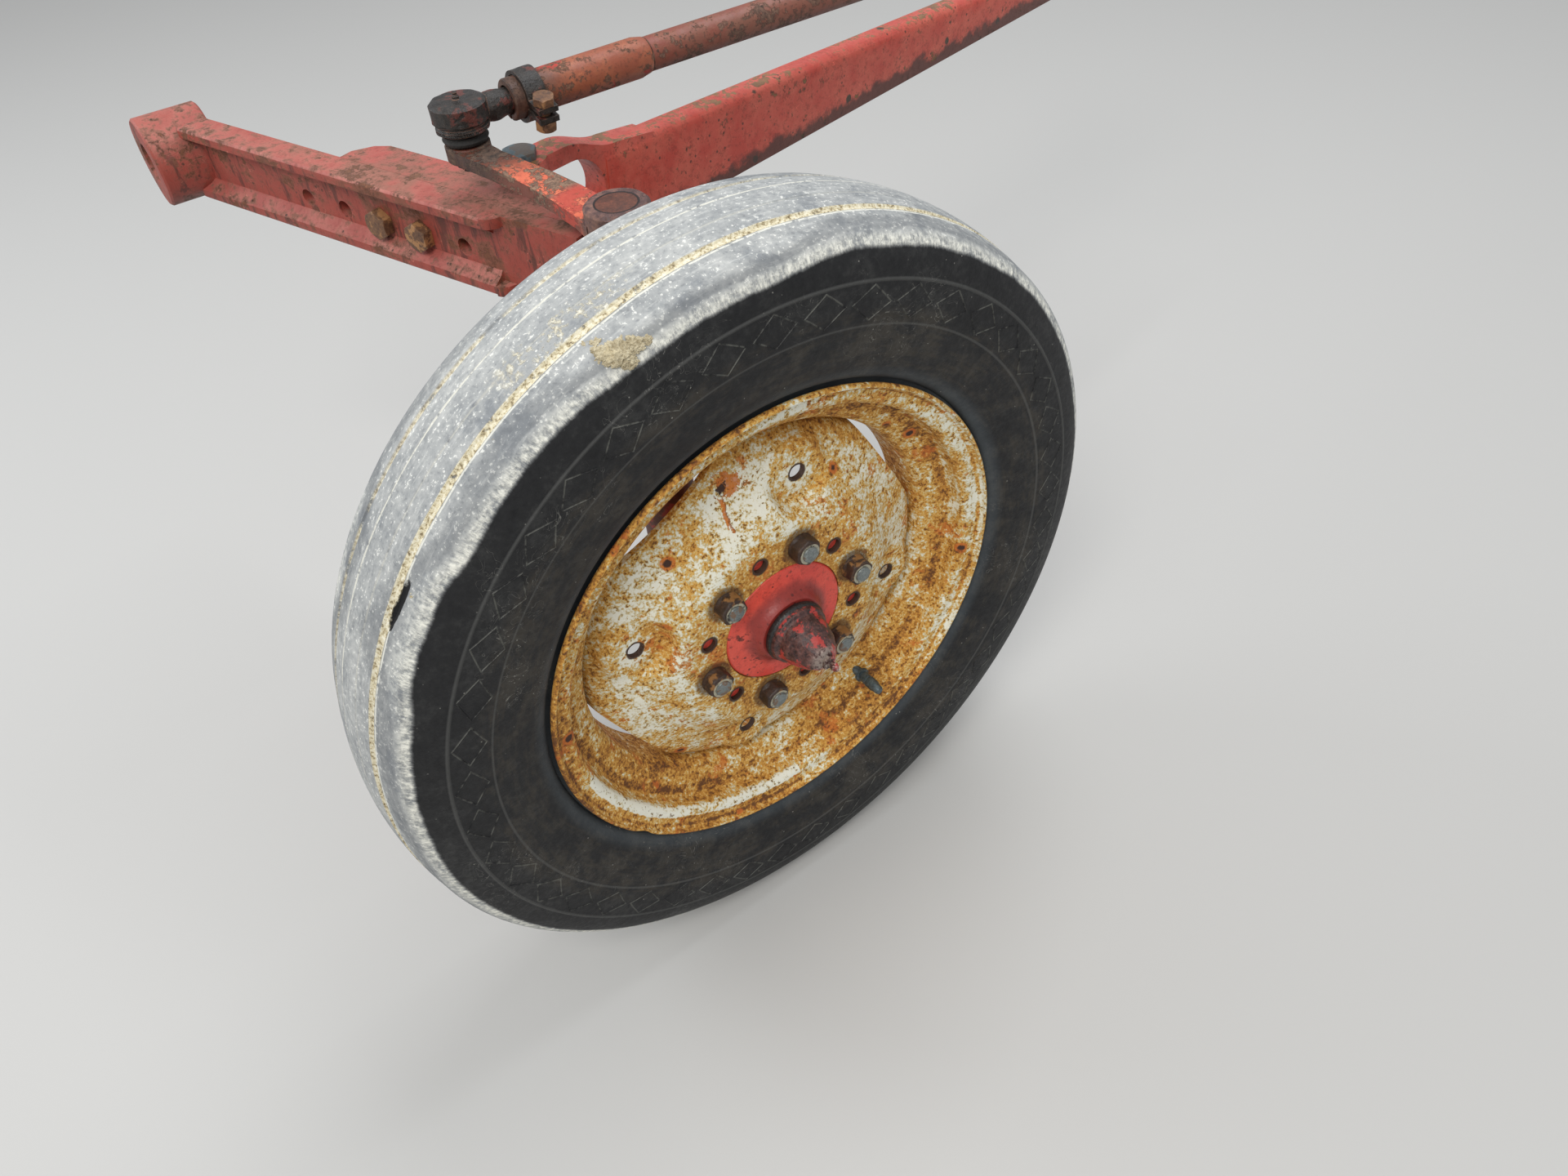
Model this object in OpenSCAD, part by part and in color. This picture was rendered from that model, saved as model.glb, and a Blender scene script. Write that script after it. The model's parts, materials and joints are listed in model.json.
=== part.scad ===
// Left front wheel station of a small farm tractor: a swept half axle with its
// kingpin housing, the steering knuckle, a steel disc wheel with a narrow ribbed tyre,
// the radius rod and the front drag link. Units are mm.
// X points forward, Y outboard to the tractor's left, Z up. The origin is the middle of
// the axle's pivot bore.

/* [View] */
// which node to show

/* [Layout] */
// kingpin axis behind the pivot
kingpin_back = 198; // [120:1:300]
// kingpin axis outboard of the pivot
kingpin_out = 535; // [400:1:700]
// wheel axis below the axle's middle
wheel_drop = 237; // [200:1:300]
// wheel's middle plane outboard of the kingpin
wheel_offset = 125; // [110:1:180]
// sweep of the axle arm, degrees back
sweep = 19.6; // [10:0.1:30]
// turn of the wheel at rest, degrees
wheel_turn = -16.3; // [-180:0.1:180]
// space between neighbouring solids
gap = 0.3; // [0.2:0.1:1]
// radial clearance of a shaft in its bush or bearing
run = 0.05; // [0.01:0.01:0.1]

/* [Axle] */
// height of the axle arms
axle_h = 70; // [64:1:80]
// back of the front arm against the pivot's middle
beam_back = -18; // [-22:1:-14]
// web thickness of the front arm
web_t = 17; // [12:1:20]
// depth of the front arm's flanges
flange_d = 29; // [26:1:40]
// flange thickness at its edge
flange_t = 9; // [6:1:12]
// flange thickness at the web
flange_root = 14; // [12:1:18]
// rounding of the flanges' outboard corners
flange_corner = 14; // [8:1:20]
// outboard end of the flanges
flange_end = 446; // [400:1:500]
// outboard end of the front arm
front_end = 527; // [505:1:535]
// thickness of the rear arm
rear_t = 37; // [30:1:44]
// rear arm's inboard end beyond its inner bolt
rear_lap = 57.9; // [40:0.1:90]
// half length of the web that carries the radius rod's ear
ear_web = 42; // [38:1:44]
// pivot eye diameter
pivot_od = 84; // [72:1:100]
// pivot eye length
pivot_len = 62; // [50:1:90]
// pivot bore diameter
pivot_bore = 38; // [25:1:50]
// diameter of the track holes
track_hole = 16; // [12:0.5:20]
// spacing of the track holes
track_pitch = 50.8; // [40:0.1:56]
// outermost track hole along the arm
track_hole_end = 391.5; // [370:0.5:410]
// track hole height against the arm's middle
track_hole_z = -5.5; // [-10:0.5:5]
// kingpin housing diameter
housing_od = 58; // [50:1:66]
// housing top above the axle's middle
housing_top = 45; // [40:1:50]
// housing bottom below the axle's middle
housing_bottom = 162; // [130:1:180]
// thickness of the gusset under the rear arm
gusset_t = 13; // [8:1:18]

/* [Kingpin] */
// kingpin diameter
kingpin_d = 32; // [28:0.5:36]
// bush wall
bush_t = 3; // [2:0.5:5]
// bush length
bush_len = 45; // [25:1:60]
// thrust bearing height
thrust_h = 16; // [12:1:20]
// steering arm's boss above the housing
boss_gap = 3.4; // [3.2:0.1:6]
// top of the steering arm's boss
arm_boss_top = 72; // [66:1:84]

/* [Steering arm] */
// boss diameter
arm_boss_d = 51; // [46:1:60]
// arm thickness
arm_t = 11; // [8:0.5:15]
// arm width beside the boss
arm_w = 33; // [28:1:38]
// rise of the arm from its boss to the ball
arm_rise = 17.3; // [12:0.1:22]
// ball stud forward of the kingpin
ball_fwd = 40.2; // [20:0.1:60]
// ball stud inboard of the kingpin
ball_in = 166.6; // [150:0.1:190]
// arm eye diameter
arm_eye_d = 37; // [32:1:44]
// ball stud's shank radius
stud_r = 8; // [7:0.1:9]
// ball stud's neck and thread radius
stud_neck_r = 6.5; // [5:0.1:6.8]
// height of the nut under the arm's eye
stud_nut_h = 8; // [6:0.5:9]

/* [Drag link] */
// height of the dust boot between the arm's eye and the joint
boot_h = 8.7; // [6:0.1:14]
// ball diameter
ball_d = 22; // [20:0.5:22.5]
// joint housing diameter
joint_d = 47; // [42:1:56]
// joint housing height
joint_h = 25.5; // [23.5:0.5:30]
// joint housing's underside below the ball's centre
joint_low = 11.5; // [11.3:0.1:12]
// distance between the two ball centres
link_len = 920; // [700:5:1200]
// shank radius
shank_r = 11; // [9.5:0.5:12]
// shank length from the ball's centre
shank_len = 114; // [90:1:130]
// sleeve diameter
sleeve_d = 33; // [29:1:38]
// sleeve's end near the ball
sleeve_start = 42; // [40:1:60]
// sleeve's far end
sleeve_end = 174; // [140:1:260]
// length of the slit in the sleeve
sleeve_slot = 40; // [20:1:80]
// tube diameter
tube_d = 28; // [24:1:32]
// clamp band width
clamp_w = 18; // [12:1:24]
// clamp band thickness
clamp_t = 4.5; // [3:0.5:6]
// clamp band's distance from the sleeve's end
clamp_at = 9; // [2:1:20]
// length of the clamp's ears
clamp_ear = 20; // [19:1:26]
// height of the clamp's two ears
clamp_ear_h = 14; // [12:1:20]
// clamp bolt beyond the sleeve
clamp_bolt_out = 12; // [11:0.5:14]
// clamp bolt diameter
clamp_bolt_d = 9; // [7:0.5:10]
// tilt of the clamp's ears below the level, degrees
clamp_tilt = 12; // [0:1:60]

/* [Radius rod] */
// front bolt behind the pivot
rod_back = 205; // [198:1:212]
// front bolt outboard of the pivot
rod_out = 354; // [345:1:362]
// rear ball behind the pivot
rod_end_back = 1300; // [900:5:1500]
// rear ball outboard of the pivot
rod_end_out = 123; // [60:1:250]
// rear ball below the axle's middle
rod_end_drop = 50; // [44:1:56]
// rear ball diameter
rod_ball_d = 40; // [34:1:56]
// radius of the neck at the ball
rod_neck_r = 12; // [9:0.5:14]
// bar thickness
rod_w = 31; // [27:1:36]
// bar's back above the axle's middle, drawn forward to the front bolt
bar_top = 29.4; // [26:0.2:34]
// bar's front end behind the front bolt
bar_start = 80; // [76:1:90]
// height of the bar at its rear end
bar_end_h = 28.5; // [24:0.5:32]
// rounding of the bar's back
rod_round = 11; // [6:0.5:13]
// bar wall thickness
rod_wall = 6; // [4:0.5:8]
// fork plate thickness
fork_t = 17; // [13:1:18]
// end of the fork's level gap behind the bolt
fork_arch = 42; // [34:1:44]
// ear and fork eye diameter
ear_d = 46; // [40:1:50]
// height of the axle's ear
ear_h = 62; // [56:1:64]
// front bolt diameter
rod_bolt_d = 19; // [15:0.5:22]
// front bolt head across flats
rod_head_af = 28; // [24:1:32]
// front bolt head height
rod_head_h = 6.8; // [5:0.1:10]

/* [Wheel] */
// bead seat radius
seat_r = 202.7; // [180:0.1:228]
// height of the rim flanges above the bead seats
flange_h = 18.8; // [16:0.1:22]
// depth of the rim's well below the bead seats
well_depth = 27.5; // [22:0.1:32]
// rim width between the flanges
rim_w = 101.6; // [90:0.1:114]
// rim metal thickness
rim_t = 3.2; // [2.5:0.1:4]
// half width of the flat well
well_half = 20; // [16:1:24]
// disc thickness
disc_t = 4.6; // [3.5:0.1:6]
// disc's outer face at the hub, outboard of the wheel's middle plane
face_out = 50.5; // [46:0.1:56]
// pilot hole diameter
pilot_d = 117.5; // [106:0.1:126]
// gap round the hub in the pilot hole
pilot_gap = 0.8; // [0.3:0.1:2]
// stud circle diameter
stud_pcd = 152.4; // [144:0.1:160]
// number of studs
stud_n = 6; // [4:1:8]
// stud thread diameter
stud_d = 14.3; // [12:0.1:16]
// stud's tip beyond its nut
stud_proud = 2.1; // [1:0.1:8]
// wheel nut across flats
nut_af = 22.2; // [19:0.1:25]
// wheel nut height
nut_h = 13; // [10:0.5:18]
// vent hole diameter
vent_d = 12; // [8:0.5:16]
// weight hole circle inside the disc's edge
weight_in = 38.7; // [36:0.1:42]
// weight hole diameter
weight_hole = 13.5; // [10:0.5:20]
// weight pad diameter
pad_d = 52; // [40:1:56]
// weight pad face behind the disc's face
pad_drop = 20.4; // [18:0.1:22]
// flats on the disc's edge inside its radius
flat_in = 14.7; // [10:0.1:18]
// valve hole's centre outside the rim's well
valve_in = 5.8; // [5:0.1:9]
// valve stem's angle from the top at rest
valve_angle = -148.5; // [-180:0.5:180]
// valve hole diameter
valve_hole = 10; // [8.5:0.1:11]

/* [Tyre] */
// tyre outer radius
tyre_r = 346; // [305:1:400]
// tyre half width
tyre_half = 71.5; // [64:0.5:84]
// height of the tyre's widest line, as a share of its section height
wide_share = 0.595; // [0.5:0.005:0.65]
// half width of the tread
tread_half = 50; // [44:1:58]
// fall of the tread at its edge
tread_fall = 7.5; // [3:0.5:12]
// wall thickness of the side
side_t = 8; // [6:0.5:11]
// outer groove's distance from the middle
groove_out = 33; // [22:1:38]
// groove width
groove_w = 4; // [2:0.5:8]
// groove depth
groove_d = 2.5; // [1:0.5:8]

/* [Hub] */
// hub flange radius
hub_flange_r = 92; // [86:1:100]
// hub flange thickness
hub_flange_t = 13; // [10:1:18]
// hub barrel radius
hub_r = 45; // [40:1:50]
// hub's inboard end, inboard of the wheel's middle plane
hub_in = 82; // [70:1:90]
// hub's neck beyond the disc's face
hub_neck = 11; // [9:0.5:14]
// seal length
seal_len = 9; // [7:1:12]
// inner bearing outer radius
bearing_in_r = 34; // [30:0.5:36]
// inner bearing width
bearing_in_w = 19; // [15:1:24]
// outer bearing outer radius
bearing_out_r = 24; // [21:0.5:26]
// outer bearing width
bearing_out_w = 16; // [13:1:20]
// outer bearing's seat inside the hub's face
bearing_out_depth = 30; // [26:1:36]
// spindle radius at the inner bearing
journal_in_r = 20; // [17:0.5:22]
// spindle radius at the outer bearing
journal_out_r = 14; // [12:0.5:16]
// step from the inner bearing up to the seal
seal_step = 4; // [2:0.5:5]
// spindle thread radius
spindle_thread_r = 10.8; // [8:0.1:11.5]
// radius of the knuckle's corner
corner_r = 27; // [24:0.5:31]
// grease cap ring radius
cap_r = 27.5; // [25.5:0.5:32]
// grease cap length
cap_len = 60; // [52:1:76]

/* [Hidden] */
$fn = 72;
wheel_y = kingpin_out + wheel_offset;
disc_face = wheel_y + face_out;
half_h = axle_h / 2;
flange_front = beam_back + flange_d;
web_front = beam_back + web_t;
rear_front = beam_back - gap;
rear_back = rear_front - rear_t;
king_u = kingpin_back * sin(sweep) + kingpin_out * cos(sweep);
king_v = -kingpin_back * cos(sweep) + kingpin_out * sin(sweep);
ear_u = rod_back * sin(sweep) + rod_out * cos(sweep);
ear_v = -rod_back * cos(sweep) + rod_out * sin(sweep);
track_holes = [for (i = [0 : 4]) track_hole_end - i * track_pitch];
track_head_af = 1.5 * track_hole;
// the two bolts take the first holes inboard of the ear's web
free_holes = [for (u = track_holes) if (u < ear_u - ear_web - 0.65 * track_head_af) u];
bolt_holes = [free_holes[0], free_holes[1]];
rear_start = bolt_holes[1] - rear_lap;
track_head_h = 0.625 * track_hole;
track_nut_h = 0.81 * track_hole;

arm_boss_low = housing_top + boss_gap;
arm_z = arm_boss_low + gap;
eye_z = arm_z + arm_rise;
eye_proud = 1;
nut_play = 0.1;
seat_gap = 0.4;
ball_z = eye_z + arm_t + eye_proud + seat_gap + boot_h + seat_gap + joint_low;
ball_x = -kingpin_back + ball_fwd;
ball_y = kingpin_out - ball_in;
arm_angle = atan2(-ball_in, ball_fwd);
arm_len = sqrt(ball_in * ball_in + ball_fwd * ball_fwd);

rod_dx = rod_back - rod_end_back;
rod_dy = rod_end_out - rod_out;
rod_flat = sqrt(rod_dx * rod_dx + rod_dy * rod_dy);
rod_yaw = atan2(rod_dy, rod_dx);
rod_low = rod_end_drop + rod_neck_r + 0.5;
bar_end = rod_flat - 59;
bar_fall = atan((bar_top + rod_low - bar_end_h) / bar_end);
ear_top = ear_h - half_h;
ear_mid = ear_h / 2 - half_h;
boss_proud = 1;
fork_half = ear_h / 2 + 2 * gap;
fork_gap = fork_half + boss_proud;
fork_eye = fork_half + fork_t;

rim_r = seat_r + flange_h;
well_r = seat_r - well_depth;
rim_edge = rim_w / 2 + 11;
valve_r = well_r + valve_in;
valve_foot = well_half - 6;
valve_stem_r = valve_hole / 2 - gap;
valve_tip_r = 0.9 * valve_stem_r;
disc_r = well_r - rim_t - gap;
weight_r = disc_r - weight_in;
section_h = tyre_r - seat_r;
wide_r = seat_r + wide_share * section_h;

hub_back = -hub_in;
hub_face = face_out - disc_t - gap;
outer_seat = face_out - disc_t - bearing_out_depth;
neck_out = face_out + hub_neck;
pilot_r = pilot_d / 2 - pilot_gap;
spindle_foot = housing_bottom + thrust_h + 2 * gap;
stub_root = wheel_y - hub_in - 3;
stub_tip = wheel_y + neck_out + 6;
nut_seat = wheel_y + outer_seat + bearing_out_w + 3;

// place along the swept arm: X across it and forward, Y along it and outboard
module on_arm() {
    rotate([0, 0, sweep]) children();
}

// place about the wheel's axis: the child's Z runs outboard, its Y down
module on_wheel(out = 0) {
    translate([-kingpin_back, wheel_y + out, -wheel_drop]) rotate([-90, 0, 0]) children();
}

// turn to an angle counted from the top towards the front
module at_clock(a) {
    rotate([0, 0, a - 90]) children();
}

// n places round the wheel's axis, turned by a part of their spacing
module round_wheel(n, radius, part = 0) {
    for (i = [0 : n - 1]) at_clock(wheel_turn + 360 / n * (i + part)) translate([radius, 0, 0]) children();
}

// rotate_extrude of a line given as shares of a radius and of a length
function scaled(line, radius, len) = [for (p = line) [p[0] * radius, p[1] * len]];

// from a to b by a smooth step, t from 0 to 1
function blend(a, b, t) = a + (b - a) * (1 - cos(180 * t)) / 2;

// hexagon with its corners turned off at the top, and at the bottom if both is set
module turned_hex(af, h, both = false) {
    intersection() {
        cylinder(d = af / cos(30), h = h, $fn = 6);
        rotate_extrude() polygon([[0, 0], [both ? af * 0.51 : af * 0.58, 0], [af * 0.58, h * 0.12],
            [af * 0.58, h * 0.86], [af * 0.5, h], [0, h]]);
    }
}

// TYRE: a hollow carcass that ends in two beads, with a nearly bald ribbed tread
function tread_at(y) = tyre_r - tread_fall * pow(abs(y) / tread_half, 2);
function shoulder(t) = [tread_half + (tyre_half - tread_half) * pow(sin(t), 1.05),
    wide_r + (tread_at(tread_half) - wide_r) * pow(cos(t), 0.82)];
function lower_side(t) = [rim_w / 2 + 2 + (tyre_half - rim_w / 2 - 2) * cos(t),
    wide_r - (wide_r - rim_r - 2) * sin(t)];
tread_right = [for (y = [0, 0.45 * groove_out, groove_out - groove_w / 2]) [tread_at(y), y]];
groove_pts = [for (s = [-1, 1]) [tread_at(groove_out) - groove_d, groove_out + s * groove_w / 4]];
rib_pts = [for (y = [groove_out + groove_w / 2, (groove_out + tread_half) / 2]) [tread_at(y), y]];
shoulder_pts = [for (t = [0 : 12 : 90]) [shoulder(t)[1], shoulder(t)[0]]];
side_pts = [for (t = [18 : 18 : 90]) [lower_side(t)[1], lower_side(t)[0]]];
bead_pts = [[seat_r + 14, rim_w / 2 - gap], [seat_r + 4.6, rim_w / 2 - gap],
    [seat_r + 2 * gap, rim_w / 2 - 3.6], [seat_r + gap - 0.6, rim_w / 2 - 15],
    [seat_r + 5, rim_w / 2 - 19]];
half_section = concat(tread_right, groove_pts, rib_pts, shoulder_pts, side_pts, bead_pts);
// inside of the carcass: share of the section height, half width
cavity = concat([for (p = [[0.212, tyre_half - side_t - 13], [wide_share - 0.2, tyre_half - side_t - 2],
    [wide_share, tyre_half - side_t], [wide_share + 0.15, tyre_half - side_t - 1.5],
    [0.812, tread_half - 4]]) [seat_r + p[0] * section_h, p[1]]],
    [[tyre_r - 20, 0.58 * tread_half], [tyre_r - 17, 0]]);

function mirrored(p) = [for (i = [len(p) - 1 : -1 : 0]) [p[i][0], -p[i][1]]];

module tyre() {
    color([0.09, 0.09, 0.09])
    on_wheel() rotate_extrude($fn = 144)
        polygon(concat(mirrored(half_section), [for (i = [1 : len(half_section) - 1]) half_section[i]],
            cavity, [for (i = [len(cavity) - 2 : -1 : 0]) [cavity[i][0], -cavity[i][1]]]));
}

// RIM: a drop centre rim with rolled flanges
rim_half_out = [[well_r, 0], [well_r, well_half], [seat_r - 8, well_half + 9],
    [seat_r - 1.5, well_half + 13], [seat_r, rim_w / 2 - 3], [seat_r + 4, rim_w / 2],
    [seat_r + 0.585 * flange_h, rim_w / 2], [rim_r - 3.5, rim_w / 2 + 2.6],
    [rim_r - 0.9, rim_w / 2 + 5.2], [rim_r, rim_w / 2 + 7.6], [rim_r - 0.6, rim_edge - 1],
    [rim_r - 1.8, rim_edge]];
rim_half_in = [[rim_r - 3.6, rim_edge - 0.4], [rim_r - rim_t - 0.2, rim_w / 2 + 7.8],
    [rim_r - 5.2, rim_w / 2 + 6], [seat_r + 0.553 * flange_h, rim_w / 2 + rim_t],
    [seat_r + 2.2, rim_w / 2 + rim_t], [seat_r - rim_t + 0.6, rim_w / 2 - 1],
    [seat_r - rim_t, rim_w / 2 - 4], [seat_r - 1.5 - rim_t, well_half + 14],
    [seat_r - 9.5 - rim_t, well_half + 11], [well_r - rim_t, well_half + 1.6], [well_r - rim_t, 0]];
rim_half = concat(rim_half_out, rim_half_in);

module rim() {
    color([0.62, 0.45, 0.24])
    on_wheel() difference() {
        for (s = [1, -1]) rotate_extrude($fn = 144) polygon([for (p = rim_half) [p[0], s * p[1]]]);
        at_clock(valve_angle) translate([valve_r, 0, well_half - 8])
            cylinder(d = valve_hole, h = rim_w / 2 - 10, $fn = 24);
    }
}

// DISC: dished, with a flat mounting ring, raised weight pads and four flats at its edge
// share of the way from the mounting ring to the disc's edge, drop behind the disc's face
disc_steps = [[0, 0], [0.116, 2.4], [0.245, 8], [0.373, 14.5], [0.502, 19.5], [0.656, 24], [0.798, 28],
    [0.888, 31.6], [0.946, 36], [0.973, 42], [1, 52], [1, 64]];
disc_turn = disc_r - 11;
disc_line = concat([[pilot_d / 2, 0]],
    [for (p = disc_steps) [hub_flange_r + 2 + p[0] * (disc_r - hub_flange_r - 2), -p[1]]]);
module disc() {
    back = [for (p = disc_line) p[0] > disc_turn ? [p[0] - disc_t, p[1]] : [p[0], p[1] - disc_t]];
    color([0.7, 0.6, 0.42])
    on_wheel(face_out) difference() {
        union() {
            difference() {
                rotate_extrude($fn = 144)
                    polygon(concat(disc_line, [for (i = [len(back) - 1 : -1 : 0]) back[i]]));
                round_wheel(4, weight_r) translate([0, 0, -pad_drop]) cylinder(d = pad_d, h = 20);
            }
            round_wheel(4, weight_r) translate([0, 0, -pad_drop - disc_t]) cylinder(d = pad_d + 3, h = disc_t);
        }
        round_wheel(4, weight_r) translate([0, 0, -50]) cylinder(d = weight_hole, h = 60, $fn = 32);
        round_wheel(4, disc_r - flat_in, 0.5) translate([0, -disc_r, -0.8 * rim_w])
            cube([disc_r, 2 * disc_r, rim_w]);
        round_wheel(stud_n, stud_pcd / 2) translate([0, 0, -10]) cylinder(d = stud_d + 1.2, h = 20, $fn = 32);
        round_wheel(stud_n, stud_pcd / 2, 0.5) translate([0, 0, -10]) cylinder(d = vent_d, h = 20, $fn = 32);
    }
}

// HUB: a turned barrel with a round flange and a short neck for the cap
module hub() {
    bore = bearing_out_r - 2;
    inner_seat = hub_back + seal_len + bearing_in_w + 2;
    flange_back = hub_face - hub_flange_t;
    // distance outside the cap's ring, distance beyond the disc's face
    neck = [[18.5, 0], [11.5, 1], [7, 3.4], [4.5, hub_neck - 4], [3.5, hub_neck - 1], [2.5, hub_neck]];
    color([0.62, 0.13, 0.1])
    on_wheel() difference() {
        rotate_extrude($fn = 96) polygon(concat([[bore, inner_seat], [bearing_in_r, inner_seat],
            [bearing_in_r, hub_back], [hub_r - 3, hub_back], [hub_r, hub_back + 3],
            [hub_r, hub_back + 0.49 * hub_in], [hub_r - 6, hub_back + 0.63 * hub_in],
            [hub_r - 6, flange_back - 14], [hub_r + 2, flange_back - 5], [hub_r + 8, flange_back],
            [hub_flange_r - 1.5, flange_back], [hub_flange_r, flange_back + 1.5],
            [hub_flange_r, hub_face - 1], [hub_flange_r - 1, hub_face], [pilot_r, hub_face],
            [pilot_r, face_out - 1.4], [pilot_r - 1.2, face_out - 0.2]],
            [for (p = neck) [cap_r + p[0], face_out + p[1]]],
            [[bearing_out_r, neck_out], [bearing_out_r, outer_seat], [bore, outer_seat]]));
        round_wheel(stud_n, stud_pcd / 2) translate([0, 0, flange_back - 1])
            cylinder(d = stud_d, h = hub_flange_t + 2, $fn = 32);
    }
}

// inner and outer bearing, taken as one ring each
module hub_bearings() {
    // outer radius, bore radius, width, inboard end
    rings = [[bearing_in_r, journal_in_r, bearing_in_w, hub_back + seal_len + 0.5],
        [bearing_out_r, journal_out_r, bearing_out_w, outer_seat + 0.5]];
    color([0.5, 0.5, 0.5])
    on_wheel() for (b = rings) translate([0, 0, b[3]]) difference() {
        cylinder(r = b[0], h = b[2]);
        translate([0, 0, -1]) cylinder(r = b[1] + run, h = b[2] + 2);
    }
}

module hub_seal() {
    color([0.12, 0.12, 0.12])
    on_wheel(hub_back + 1) difference() {
        cylinder(r = bearing_in_r, h = seal_len - 2);
        translate([0, 0, -1]) cylinder(r = journal_in_r + seal_step + run, h = seal_len);
    }
}

// GREASE CAP: a plain pressed ring, a domed cone and a grease nipple
// share of the ring's radius, share of the cap's length; outside from the ring to the tip, then inside
cap_cone = [[0.844, 0.333], [0.745, 0.5], [0.6, 0.633], [0.455, 0.725], [0.345, 0.767], [0.255, 0.783],
    [0.255, 0.833], [0.153, 0.842], [0.131, 0.883], [0.16, 0.925], [0.138, 0.967], [0.058, 1], [0, 1]];
cap_inside = [[0, 0.717], [0.327, 0.683], [0.49, 0.6], [0.636, 0.475], [0.745, 0.317]];
module grease_cap() {
    skirt = bearing_out_r - 2;
    color([0.13, 0.1, 0.09])
    on_wheel(neck_out) rotate_extrude() polygon(concat([[skirt, -8], [bearing_out_r, -8],
        [bearing_out_r, gap], [cap_r, gap], [cap_r + 1.4, 2], [cap_r + 1.4, 5], [cap_r, 7],
        [cap_r - 0.6, 11], [cap_r - 3.5, 13]], scaled(cap_cone, cap_r, cap_len),
        scaled(cap_inside, cap_r, cap_len), [[skirt, 0.183 * cap_len]]));
}

module wheel_studs() {
    start = hub_face - hub_flange_t - 1;
    tip = face_out + nut_h + stud_proud;
    head_h = 0.315 * stud_d;
    color([0.3, 0.26, 0.23])
    on_wheel() round_wheel(stud_n, stud_pcd / 2) {
        translate([0, 0, start + 1 - head_h]) cylinder(d = 1.35 * stud_d, h = head_h, $fn = 32);
        rotate_extrude($fn = 32) polygon([[0, start], [stud_d / 2, start], [stud_d / 2, tip - 1.5],
            [stud_d / 2 - 1.5, tip], [0, tip]]);
    }
}

module wheel_nuts() {
    seat_h = 0.215 * nut_h;
    color([0.24, 0.17, 0.13])
    on_wheel(face_out + nut_play) round_wheel(stud_n, stud_pcd / 2) difference() {
        union() {
            translate([0, 0, seat_h]) turned_hex(nut_af, nut_h - seat_h);
            cylinder(r1 = nut_af * 0.56, r2 = nut_af * 0.5, h = seat_h, $fn = 48);
        }
        translate([0, 0, -1]) cylinder(d = stud_d, h = nut_h + 2, $fn = 32);
    }
}

// radius over the stem's, distance from the stem's foot
module valve_stem() {
    steps = [[0.5, 0], [0.5, 3], [0, 4], [0, 16.6], [2.7, 17.6], [2.7, 20.4], [0, 21.4]];
    color([0.15, 0.15, 0.16])
    on_wheel(valve_foot) at_clock(valve_angle) translate([valve_r, 0, 0]) rotate_extrude($fn = 32)
        polygon(concat([[0, 0]], [for (p = steps) [valve_stem_r + p[0], p[1]]],
        [[valve_tip_r, 30], [valve_tip_r, 33], [0, 33]]));
}

module valve_cap() {
    color([0.2, 0.2, 0.21])
    on_wheel(valve_foot + 30) at_clock(valve_angle) translate([valve_r, 0, 0]) difference() {
        rotate_extrude($fn = 32) polygon([[0, 0], [5.6, 0], [5.6, 9], [4.6, 15], [3.6, 16], [0, 16]]);
        translate([0, 0, -1]) cylinder(r = valve_tip_r, h = 4.1, $fn = 32);
    }
}

// SPINDLE: an upright kingpin above a forged corner and a stepped stub axle
module spindle() {
    up = wheel_drop - spindle_foot;
    inner = wheel_y - hub_in + seal_len;
    // shares of the corner's radius, from its underside to the thrust face
    corner = [[0, -1.04], [0.6, -1.04], [0.81, -0.85], [0.93, -0.52], [0.93, up / corner_r - 0.22],
        [1, up / corner_r - 0.15], [1, up / corner_r], [0, up / corner_r]];
    color([0.34, 0.2, 0.16]) union() {
        translate([-kingpin_back, kingpin_out, -spindle_foot - 1])
            cylinder(d = kingpin_d, h = spindle_foot + 1 + arm_boss_top);
        translate([-kingpin_back, kingpin_out, -wheel_drop]) rotate_extrude()
            polygon(scaled(corner, corner_r, corner_r));
        translate([-kingpin_back, 0, -wheel_drop]) rotate([-90, 0, 0]) rotate_extrude() polygon([
            [0, kingpin_out], [0.89 * corner_r, kingpin_out], [0.945 * corner_r, stub_root - 4],
            [0.945 * corner_r, stub_root], [journal_in_r + seal_step, stub_root + 0.5],
            [journal_in_r + seal_step, inner - 0.5], [journal_in_r, inner - 0.5],
            [journal_in_r, inner + bearing_in_w + 3], [0.85 * journal_in_r, inner + bearing_in_w + 8],
            [journal_out_r + 1.5, wheel_y + outer_seat - 3], [journal_out_r, wheel_y + outer_seat - 1],
            [journal_out_r, nut_seat + 0.5], [spindle_thread_r, nut_seat + 2],
            [spindle_thread_r, stub_tip - 1.5], [spindle_thread_r - 1.5, stub_tip], [0, stub_tip]]);
    }
}

module spindle_nut() {
    across = 2.8 * spindle_thread_r;
    color([0.4, 0.4, 0.42])
    translate([-kingpin_back, nut_seat - 2.4, -wheel_drop]) rotate([-90, 0, 0]) difference() {
        union() {
            translate([0, 0, 0.2]) cylinder(r = 19, h = 2.2);
            translate([0, 0, 3]) turned_hex(across, 13);
            cylinder(r = across / 2, h = 4);
        }
        translate([0, 0, -1]) cylinder(r = journal_out_r, h = 6);
        translate([0, 0, 2]) cylinder(r = spindle_thread_r, h = 20);
        for (a = [0 : 60 : 120]) rotate([0, 0, a + 30]) translate([-20, -1.8, 11]) cube([40, 3.6, 10]);
    }
}

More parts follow.
